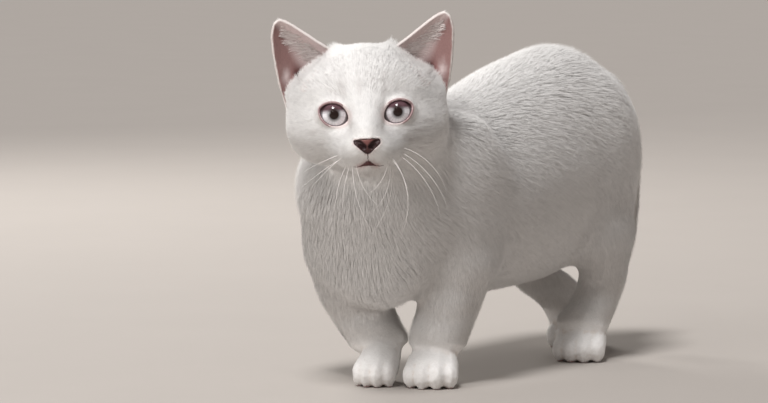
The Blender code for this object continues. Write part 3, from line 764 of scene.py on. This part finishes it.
def make_coat(skin):
    """Grows the tufts over the skin, in pieces by region."""
    rng = np.random.default_rng(11)
    mesh = skin.data
    tufts = sizes().tufts
    count = tufts
    fields = coat_fields(mesh)
    weight = fields.pop("weight")[:, 0]
    corners, loops = triangle_arrays(mesh)
    which, inside = scatter(corners, fields["root"], weight, count, rng)
    at = {name: blended(values, corners, which, inside) for name, values in fields.items()}
    uv = blended(read_all(mesh.uv_layers["OFBake"].data, "uv", 2, np.float32), loops, which, inside)
    laid = laid_tufts(at, count, rng)
    shine = rng.uniform(0.93, 1.03, (count, 1)) - 0.06 * (noise_at(laid[0], 1.6, 9)[:, :1] > 0.12)
    inner, outer = (np.clip(at["tint"] * shine * tone, 0, 1) for tone in (0.97, 1.02))
    look = coat_material()
    region = at["shares"].argmax(1)
    for k, name in enumerate(NAMES):
        mine = np.flatnonzero(region == k)
        parts = max(1, math.ceil(len(mine) / PIECE_TUFTS))
        for j, chosen in enumerate(np.array_split(mine, parts)):
            if len(chosen) == 0:
                continue
            title = f"coat_{name}" if parts == 1 else f"coat_{name}_{j + 1}"
            piece = spikes(title, *(values[chosen] for values in (*laid, inner, outer, uv)))
            finish_piece(piece, look, REGIONS[name][0], smooth=False)


# Materials


def new_material(name, values):
    """A new material, its tree and its shader, which has these values set."""
    made = bpy.data.materials.new(name)
    made.use_nodes = True
    shader = made.node_tree.nodes["Principled BSDF"]
    for key, value in values.items():
        shader.inputs[key].default_value = value
    return made, made.node_tree, shader


def node(tree, kind, inputs=None, **values):
    made = tree.nodes.new("ShaderNode" + kind)
    for name, value in values.items():
        setattr(made, name, value)
    for name, value in (inputs or {}).items():
        if isinstance(value, bpy.types.NodeSocket):
            tree.links.new(value, made.inputs[name])
        else:
            made.inputs[name].default_value = value
    return made


def grain_noise(tree, place, scale, detail=2.0):
    return node(tree, "TexNoise", {"Vector": place, "Scale": scale, "Detail": detail}).outputs["Fac"]


def stretched(tree, value, span, onto, **more):
    """The value, with one span of it carried onto another."""
    ends = {"From Min": span[0], "From Max": span[1], "To Min": onto[0], "To Max": onto[1]}
    return node(tree, "MapRange", {"Value": value, **ends}, **more).outputs["Result"]


def scaled(tree, colour, factor):
    return node(tree, "VectorMath", {0: colour, "Scale": factor}, operation="SCALE").outputs["Vector"]


def between(tree, share, a, b):
    """A colour that goes from a to b as share goes from 0 to 1."""
    return node(tree, "Mix", {"Factor": share, 6: a, 7: b}, data_type="RGBA").outputs[2]


def add_bump(tree, shader, height, strength, distance):
    bump = node(tree, "Bump", {"Height": height, "Strength": strength, "Distance": distance})
    tree.links.new(bump.outputs["Normal"], shader.inputs["Normal"])


def rgba(colour):
    return (*colour, 1.0)


def hair_tone_group():
    """Turns the stored coat colour into one with fine strands: a little lighter and darker along the hair."""
    found = bpy.data.node_groups.get("hair_tone")
    if found:
        return found
    group = bpy.data.node_groups.new("hair_tone", "ShaderNodeTree")
    for name in ("Strength", "Scale"):
        group.interface.new_socket(name, in_out="INPUT", socket_type="NodeSocketFloat")
    group.interface.new_socket("Color", in_out="OUTPUT", socket_type="NodeSocketColor")
    group.interface.new_socket("Height", in_out="OUTPUT", socket_type="NodeSocketFloat")
    entry = group.nodes.new("NodeGroupInput")
    leave = group.nodes.new("NodeGroupOutput")
    tone = node(group, "Attribute", attribute_name="coat").outputs["Color"]
    place = node(group, "TexCoord").outputs["Object"]
    fine = grain_noise(group, place, entry.outputs["Scale"], 3.0)
    uneven = stretched(group, fine, (0.3, 0.7), (-1.0, 1.0))
    amount = node(group, "Math", {0: uneven, 1: entry.outputs["Strength"]}, operation="MULTIPLY")
    factor = node(group, "Math", {0: amount.outputs[0], 1: 1.0}, operation="ADD")
    group.links.new(scaled(group, tone, factor.outputs[0]), leave.inputs["Color"])
    group.links.new(fine, leave.inputs["Height"])
    return group


def hair_toned(tree, shader, strength, scale):
    """Colours the shader in the coat's tone and gives the height of its strands."""
    tone = node(tree, "Group", {"Strength": strength, "Scale": scale}, node_tree=hair_tone_group())
    tree.links.new(tone.outputs["Color"], shader.inputs["Base Color"])
    return tone.outputs["Height"]


def skin_material():
    values = {"Roughness": 0.75, "Specular IOR Level": 0.25}
    made, tree, shader = new_material("skin_under_coat", values)
    add_bump(tree, shader, hair_toned(tree, shader, 0.05, 900.0), 0.35, 0.0004)
    return made


def coat_material():
    values = {"Roughness": 0.62, "Specular IOR Level": 0.3, "Sheen Weight": 0.25, "Sheen Roughness": 0.5}
    made, tree, shader = new_material("white_coat", values)
    hair_toned(tree, shader, 0.04, 350.0)
    return made


def hair_material(name, colour):
    """Single hairs in a colour that varies a little."""
    made, tree, shader = new_material(name, {"Roughness": 0.4})
    uneven = grain_noise(tree, node(tree, "TexCoord").outputs["Object"], 200.0)
    toned = between(tree, uneven, rgba([v * 0.9 for v in colour]), rgba(colour))
    tree.links.new(toned, shader.inputs["Base Color"])
    return made


def plain_tone(name, colour, roughness, grain, depth, variation=0.12, coat=0.0):
    """A moist or leathery surface in a colour or a stored one: a little uneven, with a fine grain."""
    values = {"Roughness": roughness, "Coat Weight": coat, "Coat Roughness": 0.12}
    made, tree, shader = new_material(name, values)
    place = node(tree, "TexCoord").outputs["Object"]
    cells = node(tree, "TexVoronoi", {"Vector": place, "Scale": grain}).outputs["Distance"]
    uneven = grain_noise(tree, place, grain / 6, 4.0)
    factor = stretched(tree, uneven, (0.0, 1.0), (1 - variation * 2, 1 + variation))
    if isinstance(colour, str):
        base = node(tree, "Attribute", attribute_name=colour).outputs["Color"]
    else:
        base = node(tree, "RGB").outputs[0]
        base.default_value = rgba(colour)
    tree.links.new(scaled(tree, base, factor), shader.inputs["Base Color"])
    add_bump(tree, shader, cells, 0.5, depth)
    return made


def iris_stops():
    """From 0 in the dark of the pupil to 1 in the full iris, at distances from the axis in eye radii."""
    s = sizes()
    pupil, edge = s.pupil_radius / s.eye_radius, s.iris_radius / s.eye_radius
    return [
        (0.0, 0.0),
        (pupil * 0.86, 0.0),
        (pupil * 1.20, 0.42),
        (pupil + (edge - pupil) * 0.42, 0.95),
        (pupil + (edge - pupil) * 0.86, 1.0),
        (edge * 0.99, 0.30),
        (edge * 1.06, 0.26),
        (1.0, 0.26),
    ]


def eye_material():
    """Pupil, iris with its fibres and its dark ring, by the distance from the eye's axis, and painted shade
    over the upper iris.
    """
    c = colours()
    values = {"Roughness": 0.5, "Specular IOR Level": 0.05}
    values |= {"Coat Weight": 1.0, "Coat Roughness": 0.02, "Coat IOR": 1.34}
    made, tree, shader = new_material("eye", values)
    place = node(tree, "Attribute", attribute_name="eye_place").outputs["Vector"]
    apart = node(tree, "SeparateXYZ", {0: place}).outputs
    flat = node(tree, "CombineXYZ", {0: apart["X"], 1: apart["Y"], 2: 0.0}).outputs[0]
    round_way = node(tree, "VectorMath", {0: flat}, operation="NORMALIZE").outputs[0]
    ramp = node(tree, "ValToRGB", {"Fac": apart["Z"]})
    elements = ramp.color_ramp.elements
    elements.remove(elements[-1])
    first, *others = iris_stops()
    elements[0].position = first[0]
    elements[0].color = rgba([first[1]] * 3)
    for at, tone in others:
        elements.new(at).color = rgba([tone] * 3)
    # Painted shade: the iris darkens upwards, as if shaded by the upper lid and reflecting dark surroundings
    high = stretched(tree, apart["Y"], (-0.02, 0.34), (0.0, 1.0), interpolation_type="SMOOTHSTEP")
    iris = between(tree, high, rgba(c.iris), rgba(c.iris_top_shade))
    painted = between(tree, ramp.outputs["Color"], rgba(c.pupil), iris)
    fibres = stretched(tree, grain_noise(tree, round_way, 9.0, 5.0), (0.3, 0.7), (0.80, 1.15))
    mottle = stretched(tree, grain_noise(tree, place, 3.0, 3.0), (0.3, 0.7), (0.90, 1.08))
    both = node(tree, "Math", {0: fibres, 1: mottle}, operation="MULTIPLY").outputs[0]
    tree.links.new(scaled(tree, painted, both), shader.inputs["Base Color"])
    return made


# Eyes, lids, nose, mouth and whiskers


CORNEA_REACH = 0.74  # as a share of the eye's radius
CORNEA_RISE = 0.9 * MM


def make_eye(word, side):
    """The eyeball with its cornea standing a little proud, looking out of the face."""
    radius = sizes().eye_radius
    turn = head_frame().to_3x3().to_4x4()
    bm = bmesh.new()
    place = Matrix.Translation(box_middle("eye_" + word)) @ turn @ Matrix.Rotation(math.pi / 2, 4, "X")
    bmesh.ops.create_uvsphere(bm, u_segments=64, v_segments=48, radius=radius)
    spots = []
    for v in bm.verts:
        off_axis = math.hypot(v.co.x, v.co.y) / radius
        if v.co.z > 0:
            v.co.z += CORNEA_RISE * max(0.0, 1 - (off_axis / CORNEA_REACH) ** 2) ** 1.5
        spots.append((v.co.x / radius, v.co.y / radius, off_axis if v.co.z > 0 else 1.0))
    bmesh.ops.transform(bm, matrix=place, verts=bm.verts)
    eye = object_from("eyeball_" + word, bm)
    store(eye.data, "eye_place", np.array(spots), "FLOAT_VECTOR")
    finish_piece(eye, eye_material(), "eye_" + word, "eye_" + word)


def almond_point(side, turn, grow, radius):
    """A point of the lids' rim on a ball round the eye's middle, in the head's own frame."""
    u = (EYE_HALF_LENGTH + grow) * math.cos(turn)
    v = (EYE_HALF_OPEN + grow) * math.copysign(abs(math.sin(turn)) ** 1.25, math.sin(turn))
    across = u * math.cos(EYE_SLANT) - v * math.sin(EYE_SLANT)
    up = u * math.sin(EYE_SLANT) + v * math.cos(EYE_SLANT)
    deep = math.sqrt(max(0.0, radius**2 - across**2 - up**2))
    return Vector((side * (EYE_APART + across), EYE_DEEP - deep, EYE_HIGH + up)) * MM


def tube_from(name, lines, thick, cyclic, sides=4):
    """Smooth tubes along lines of points, with a radius factor for each point."""
    curve = bpy.data.curves.new(name, "CURVE")
    curve.dimensions = "3D"
    curve.bevel_depth = thick
    curve.bevel_resolution = sides
    curve.use_fill_caps = True
    for line in lines:
        spline = curve.splines.new("POLY")
        spline.points.add(len(line) - 1)
        spline.use_cyclic_u = cyclic
        for point, (place, factor) in zip(spline.points, line):
            point.co = (*place, 1.0)
            point.radius = factor
    rod = add_object(name, curve)
    mesh = evaluated_mesh(rod)
    bpy.data.objects.remove(rod)
    bm = bmesh.new()
    bm.from_mesh(mesh)
    bpy.data.meshes.remove(mesh)
    bmesh.ops.remove_doubles(bm, verts=bm.verts, dist=1e-7)
    bmesh.ops.recalc_face_normals(bm, faces=bm.faces)
    return object_from(name, bm)


# Rim of the lids and lash line inside it, in millimetres: how far outside the opening each runs, the radius
# of the ball on which it lies and its thickness
LID_RIM = (0.35, 10.45, 0.54)
LASH_LINE = (-0.18, 9.95, 0.25)
LID_STEPS = 96


def make_lids():
    """The bare rim of each eye's lids, with the dark line along its inner edge."""
    head = head_frame()
    rim_look = plain_tone("lid_rims", colours().lids, 0.5, 1500, 0.00006, coat=0.15)
    dark_look = plain_tone("lash_line", colours().lash, 0.35, 1500, 0.00006, coat=0.3)
    for word, side in SIDES.items():
        rim, dark = [], []
        for k in range(LID_STEPS):
            turn = math.tau * k / LID_STEPS
            upper = max(0.0, math.sin(turn))
            corner = max(0.0, -math.cos(turn)) ** 8
            outer_end = max(0.0, math.cos(turn)) ** 8
            rim.append((head @ almond_point(side, turn, *LID_RIM[:2]), 1.0 + 0.15 * upper))
            thick = 1.0 + 0.9 * upper + 1.3 * corner + 0.9 * outer_end
            dark.append((head @ almond_point(side, turn, LASH_LINE[0] + 0.15 * upper, LASH_LINE[1]), thick))
        for name, line, thick, look in (
            ("lid_rim_", rim, LID_RIM[2], rim_look),
            ("lash_line_", dark, LASH_LINE[2], dark_look),
        ):
            piece = tube_from(name + word, [line], thick * MM, True)
            finish_piece(piece, look, "eye_" + word)


NOSE_SWELL = 0.14 * MM
NOSE_GRAIN = 0.26 * MM
NOSTRIL_DEPTH = 1.1  # at its inner end, in millimetres


def make_nose():
    """The nose leather with its two nostrils sunk into it, and painted shade in the nostrils, at its sides
    and over its lower half.
    """
    nose = merged_copy("nose_leather", ["nose"], NOSE_SWELL)
    add_modifier(nose, "REMESH", mode="VOXEL", voxel_size=NOSE_GRAIN)
    add_modifier(nose, "SMOOTH", factor=0.5, iterations=8)
    apply_modifiers(nose)
    mesh = nose.data
    points, normals = vertex_array(mesh), vertex_array(mesh, "normal")
    head = head_frame()
    h = local_to(head, points)
    outside = (normals @ np.array(head)[:3, :3])[:, 1] < -0.1
    x, z = np.abs(h[:, 0]), h[:, 2]
    wide = 1.85 - 0.85 * smooth_step(3.6, 7.0, x)
    gap = line_gap(x, z, NOSTRIL_LINE) / wide
    hole = smooth_step(1.0, 0.35, gap) * outside
    points -= normals * (hole * NOSTRIL_DEPTH * (1 - 0.6 * smooth_step(4.5, 7.0, x)))[:, None] * MM
    move_points(mesh, points)
    c = colours()
    # Painted shade: dark over the lower half, in the nostrils and at the sides, with a lighter strip down the
    # middle
    low = smooth_step(-18.4, -21.2, z) * 0.9
    middle = soft_line(x, 0.5) * smooth_step(-24.5, -20.5, z)
    sides = np.maximum(smooth_step(1.5, 0.7, gap), 0.9 * smooth_step(2.4, 4.4, x))
    dark = np.clip(np.maximum(sides, low * (1 - 0.55 * middle)), 0, 1)
    made = mix(np.tile(np.array(c.nose), (len(h), 1)), np.array(c.nostrils), dark)
    store(mesh, "tone", made, "FLOAT_COLOR")
    finish_piece(nose, plain_tone("nose_leather", "tone", 0.6, 2200, 0.0001, coat=0.08), "nose", "nose")


def on_skin(tree, head, x, z, lift):
    """Where a line into the face meets the skin, moved out by lift millimetres."""
    start = head @ (Vector((x, -90, z)) * MM)
    way = (head @ (Vector((x, 0, z)) * MM) - start).normalized()
    spot, normal, _, _ = tree.ray_cast(start, way)
    if spot is None:
        raise RuntimeError(f"no skin in front of {x}, {z}")
    return spot + normal * lift * MM


def skin_tree():
    bm = bmesh.new()
    bm.from_mesh(bpy.data.objects["skin"].data)
    tree = BVHTree.FromBMesh(bm)
    bm.free()
    return tree


LIP_STEPS = 45
LIP_THICK = 1.55 * MM


def make_mouth(tree):
    """The line of the lips: a dark dip in the middle, painted shade of the slightly open mouth, that thins
    out to both sides, and the cleft above it.
    """
    head = head_frame()
    along = np.linspace(-1, 1, LIP_STEPS)
    far = [math.dist((0, 0), (x, z - MOUTH_LINE[0][1])) for x, z in MOUTH_LINE]
    xs, zs = (np.interp(np.abs(along) * far[-1], far, [p[i] for p in MOUTH_LINE]) for i in (0, 1))
    thick = 0.16 + 0.84 * soft_line(along, 0.32)
    middle = zip(xs * np.sign(along), zs, thick)
    lips = [(on_skin(tree, head, x, z - 0.35 * f, -0.30 * f), f) for x, z, f in middle]
    cleft = [(on_skin(tree, head, 0, z, -0.22), 0.26) for z in np.linspace(-29.0, -24.4, 12)]
    mouth = tube_from("mouth_line", [lips, cleft], LIP_THICK, False)
    finish_piece(mouth, plain_tone("lips", colours().mouth, 0.55, 1500, 0.0001), "head")


def bent_line(start, way, down, length, steps):
    """A line that leaves along way and bends evenly towards down."""
    line = []
    place = start.copy()
    for k in range(steps + 1):
        t = k / steps
        line.append((place.copy(), max(0.06, (1 - t) ** 0.6)))
        place = place + (way + down * t).normalized() * (length / steps)
    return line


# Whiskers as seen from the front: side, root x and z, first way from straight down outwards, bend inwards
# on the whole way (both in degrees) and length as a share of the longest
WHISKERS = [
    (-1, 15.5, -24.5, 72, 10, 0.50),
    (-1, 15.0, -27.0, 62, 12, 0.58),
    (-1, 14.0, -26.0, 55, 14, 0.48),
    (-1, 11.5, -29.5, 30, 30, 0.66),
    (-1, 9.8, -29.8, 22, 26, 0.70),
    (-1, 8.6, -30.2, 3, 38, 0.92),
    (-1, 6.6, -30.0, -4, 46, 0.60),
    (1, 19.0, -22.0, 70, 60, 0.80),
    (1, 18.0, -24.5, 58, 46, 0.94),
    (1, 17.0, -26.0, 52, 48, 1.00),
    (1, 13.0, -27.0, 34, 62, 0.98),
    (1, 12.2, -27.6, 40, 66, 0.86),
    (1, 11.8, -29.6, 6, 62, 0.70),
    (1, 12.8, -30.2, 4, 50, 0.96),
    (1, 10.8, -29.0, -6, 62, 0.52),
]
WHISKER_THICK = 0.17 * MM
WHISKER_STEPS = 16
BROW_HAIRS = 3
BROW_STEPS = 10
BROW_THICKNESS = 0.55  # as a share of a whisker's


def make_whiskers(tree):
    """Whiskers that hang in arcs from the pads, and a few fine hairs over each eye."""
    head = head_frame()
    turn = head.to_3x3()
    rng = np.random.default_rng(5)
    longest = sizes().whisker_length
    lines = []
    for side, x, z, angle, bend, share in WHISKERS:
        place = on_skin(tree, head, side * x, z, -0.5)
        line = []
        for k in range(WHISKER_STEPS + 1):
            t = k / WHISKER_STEPS
            lean = math.radians(angle - bend * t)
            back = -0.30 * (1 - t) ** 2 + 0.20 * t
            way = Vector((side * math.sin(lean), back, -math.cos(lean)))
            line.append((place.copy(), max(0.10, (1 - t) ** 0.5)))
            place = place + (turn @ way).normalized() * (longest * share / WHISKER_STEPS)
        lines.append(line)
    for side in SIDES.values():
        for k in range(BROW_HAIRS):
            spot = on_skin(tree, head, side * (13.0 + 2.4 * k), 8.5 + 0.6 * k, -0.3)
            out = (turn @ Vector((side * 0.25 + side * 0.2 * k, -0.55, 0.75))).normalized()
            sag = turn @ Vector((side * 0.5, 0.5, 0.1))
            fine = bent_line(spot, out, sag, longest * rng.uniform(0.26, 0.36), BROW_STEPS)
            lines.append([(place, BROW_THICKNESS * factor) for place, factor in fine])
    made = tube_from("whiskers", lines, WHISKER_THICK, False, sides=1)
    finish_piece(made, hair_material("whisker", colours().whisker), "head")


EAR_STRANDS = 300
EAR_STRAND_THICK = 0.15 * MM
EAR_STRAND_STEPS = 6
EAR_STRAND_COLOUR = (0.94, 0.86, 0.84)
EAR_EDGE_GAP = 3.5  # how near a hair may come to the outer edge, in millimetres


def ear_strand(k, rng):
    """Start, first way, bend, length and lift of a hair: every fourth in the tuft over the ear's foot."""
    share = rng.random() ** 1.5 * 0.85
    if k % 4:
        x, z = (np.interp(share, np.linspace(0, 1, 5), [p[i] for p in EAR_INNER[1:6]]) for i in (0, 1))
        inward = rng.uniform(1.5, 7.0)
        x, z = x + 0.4 * inward, z - inward - 2.5 * (1 - share)
        angle, bend = rng.normal(2 + 22 * share, 7), rng.uniform(25, 48)
        return x, z, angle, bend, rng.uniform(8, 14) * (1 - 0.45 * share), 0.5
    x = rng.uniform(23.5, 33)
    z = 26.5 - 1.25 * (x - 21) + rng.uniform(-2.5, 1.0)
    angle, bend = rng.normal(48, 12), rng.uniform(0, 30)
    return x, z, angle, bend, rng.uniform(6, 10), 1.1


def make_ear_hair(tree):
    """Long fine hairs that stream across each ear from its inner edge, and a tuft over its foot."""
    rng = np.random.default_rng(8)
    head = head_frame()
    lines = []
    for side in SIDES.values():
        for k in range(EAR_STRANDS):
            x, z, angle, bend, length, lift = ear_strand(k, rng)
            line = []
            for j in range(EAR_STRAND_STEPS + 1):
                t = j / EAR_STRAND_STEPS
                off = -0.3 + (lift + 0.3) * math.sin(math.pi * min(1, 0.15 + t))
                line.append((on_skin(tree, head, side * x, z, off), max(0.12, (1 - t) ** 0.6)))
                lean, step = math.radians(angle - bend * t), length / EAR_STRAND_STEPS
                x, z = x + math.cos(lean) * step, z + math.sin(lean) * step
                if line_gap(np.array([x]), np.array([z]), EAR_OUTER)[0] < EAR_EDGE_GAP:
                    break
            if len(line) > 2:
                lines.append(line)
    made = tube_from("ear_hair", lines, EAR_STRAND_THICK, False, sides=0)
    finish_piece(made, hair_material("ear_hair", EAR_STRAND_COLOUR), "ear_left")


# Floor, light and camera

CAMERA_AZIMUTH = math.radians(36.0)
CAMERA_HEIGHT_ANGLE = math.radians(5.0)
CAMERA_DISTANCE = 2.0
PICTURE = (768, 403)
FOCAL_PIXELS = 3636.0
HEAD_PIXEL = (366.0, 110.0)
FLOOR_DROP = 0.2 * MM

# Light of the sky and of the sun, and soft lamps: a lamp's name, its place from the middle of the cat as
# seen in the picture (right, up and towards the camera), its size, power and colour
MIDDLE = (0, 0, 0.1)
SKY = (1.0, 0.93, 0.89, 1.0)
SKY_STRENGTH = 0.21
SUN = (1.0, 0.99, 0.985)
SUN_STRENGTH = 2.65
SUN_WIDTH = math.radians(16)
SUN_PLACE = (-0.17, 1.0, 0.50)
LAMPS = [
    ("catch", (-0.45, 1.1, 1.5), 0.16, 1.2, (1.0, 1.0, 1.0)),
    ("side", (-1.1, 0.45, 1.1), 0.7, 6.5, (1.0, 0.98, 0.96)),
    ("rim", (-0.6, 1.0, -1.2), 0.6, 10.0, (1.0, 0.98, 0.95)),
]


def add_area(name, place, target, size, power, colour):
    light = bpy.data.lights.new(name, "AREA")
    light.shape = "DISK"
    light.size = size
    light.energy = power
    light.color = colour
    turn = (target - place).to_track_quat("-Z", "Y").to_matrix().to_4x4()
    add_object(name, light).matrix_world = Matrix.Translation(place) @ turn


def make_stage():
    """Lays the floor, and sets the camera where the photo was taken from and the light round the cat."""
    bm = bmesh.new()
    bmesh.ops.create_grid(bm, x_segments=8, y_segments=8, size=20.0)
    bmesh.ops.translate(bm, verts=bm.verts, vec=(0, 0, -FLOOR_DROP))
    floor = object_from("floor", bm)
    floor.data.materials.append(plain_tone("studio_floor", colours().floor, 0.85, 60, 0.0002, 0.015))
    scene = bpy.context.scene
    scene.view_settings.view_transform = "Standard"
    scene.world = bpy.data.worlds.new("studio")
    scene.world.use_nodes = True
    back = scene.world.node_tree.nodes["Background"]
    back.inputs["Color"].default_value = SKY
    back.inputs["Strength"].default_value = SKY_STRENGTH
    around, lift = CAMERA_AZIMUTH, CAMERA_HEIGHT_ANGLE
    toward = Vector((math.sin(around) * math.cos(lift), -math.cos(around) * math.cos(lift), math.sin(lift)))
    right = Vector((math.cos(around), math.sin(around), 0))
    axes = Matrix((right, toward.cross(right), toward)).transposed()
    u = (HEAD_PIXEL[0] - PICTURE[0] / 2) / FOCAL_PIXELS
    v = (PICTURE[1] / 2 - HEAD_PIXEL[1]) / FOCAL_PIXELS
    place = head_frame().translation + axes @ Vector((-u, -v, 1)) * CAMERA_DISTANCE
    camera = bpy.data.cameras.new("camera")
    camera.sensor_width = 36.0
    camera.lens = FOCAL_PIXELS / PICTURE[0] * camera.sensor_width
    scene.camera = add_object("camera", camera)
    scene.camera.matrix_world = Matrix.Translation(place) @ axes.to_4x4()
    sun = bpy.data.lights.new("key", "SUN")
    sun.energy = SUN_STRENGTH
    sun.angle = SUN_WIDTH
    sun.color = SUN
    source = axes @ Vector(SUN_PLACE)
    add_object("key", sun).matrix_world = source.to_track_quat("Z", "Y").to_matrix().to_4x4()
    middle = Vector(MIDDLE)
    for name, offset, size, power, colour in LAMPS:
        add_area(name, middle + axes @ Vector(offset), middle, size, power, colour)


# Operators and panel


class CAT_OT_skin(bpy.types.Operator):
    """Makes the one skin that stands for the solids of flesh"""

    bl_idname = "cat.skin"
    bl_label = "Skin"

    def execute(self, context):
        make_skin()
        return {"FINISHED"}


class CAT_OT_coat(bpy.types.Operator):
    """Grows the short coat over the skin"""

    bl_idname = "cat.coat"
    bl_label = "Coat"

    def execute(self, context):
        make_coat(bpy.data.objects["skin"])
        return {"FINISHED"}


class CAT_OT_face(bpy.types.Operator):
    """Makes the eyes, the rims of the lids, the nose leather and the line of the mouth"""

    bl_idname = "cat.face"
    bl_label = "Face"

    def execute(self, context):
        for word, side in SIDES.items():
            make_eye(word, side)
        make_lids()
        make_nose()
        make_mouth(skin_tree())
        return {"FINISHED"}


class CAT_OT_whiskers(bpy.types.Operator):
    """Sets the whiskers and the long hairs of the ears"""

    bl_idname = "cat.whiskers"
    bl_label = "Whiskers and ear hair"

    def execute(self, context):
        tree = skin_tree()
        make_whiskers(tree)
        make_ear_hair(tree)
        return {"FINISHED"}


class CAT_OT_stage(bpy.types.Operator):
    """Lays the pale floor and sets light and camera"""

    bl_idname = "cat.stage"
    bl_label = "Stage"

    def execute(self, context):
        make_stage()
        return {"FINISHED"}


OPERATORS = (CAT_OT_skin, CAT_OT_coat, CAT_OT_face, CAT_OT_whiskers, CAT_OT_stage)


class CAT_PT_panel(bpy.types.Panel):
    """Sizes, colours and steps of the cat"""

    bl_idname = "CAT_PT_panel"
    bl_label = "Cat"
    bl_space_type = "VIEW_3D"
    bl_region_type = "UI"
    bl_category = "Cat"

    def draw(self, context):
        for group in (context.scene.cat_sizes, context.scene.cat_colours):
            for name in group.bl_rna.properties.keys():
                if name not in {"rna_type", "name"}:
                    self.layout.prop(group, name)
        for kind in OPERATORS:
            self.layout.operator(kind.bl_idname)


CLASSES = (CatSizes, CatColours, *OPERATORS, CAT_PT_panel)


def register():
    for kind in CLASSES:
        bpy.utils.register_class(kind)
    bpy.types.Scene.cat_sizes = bpy.props.PointerProperty(type=CatSizes)
    bpy.types.Scene.cat_colours = bpy.props.PointerProperty(type=CatColours)


def unregister():
    del bpy.types.Scene.cat_colours
    del bpy.types.Scene.cat_sizes
    for kind in reversed(CLASSES):
        bpy.utils.unregister_class(kind)


def main():
    register()
    bpy.ops.cat.skin()
    bpy.ops.cat.coat()
    bpy.ops.cat.face()
    bpy.ops.cat.whiskers()
    bpy.ops.cat.stage()


if __name__ == "__main__":
    main()
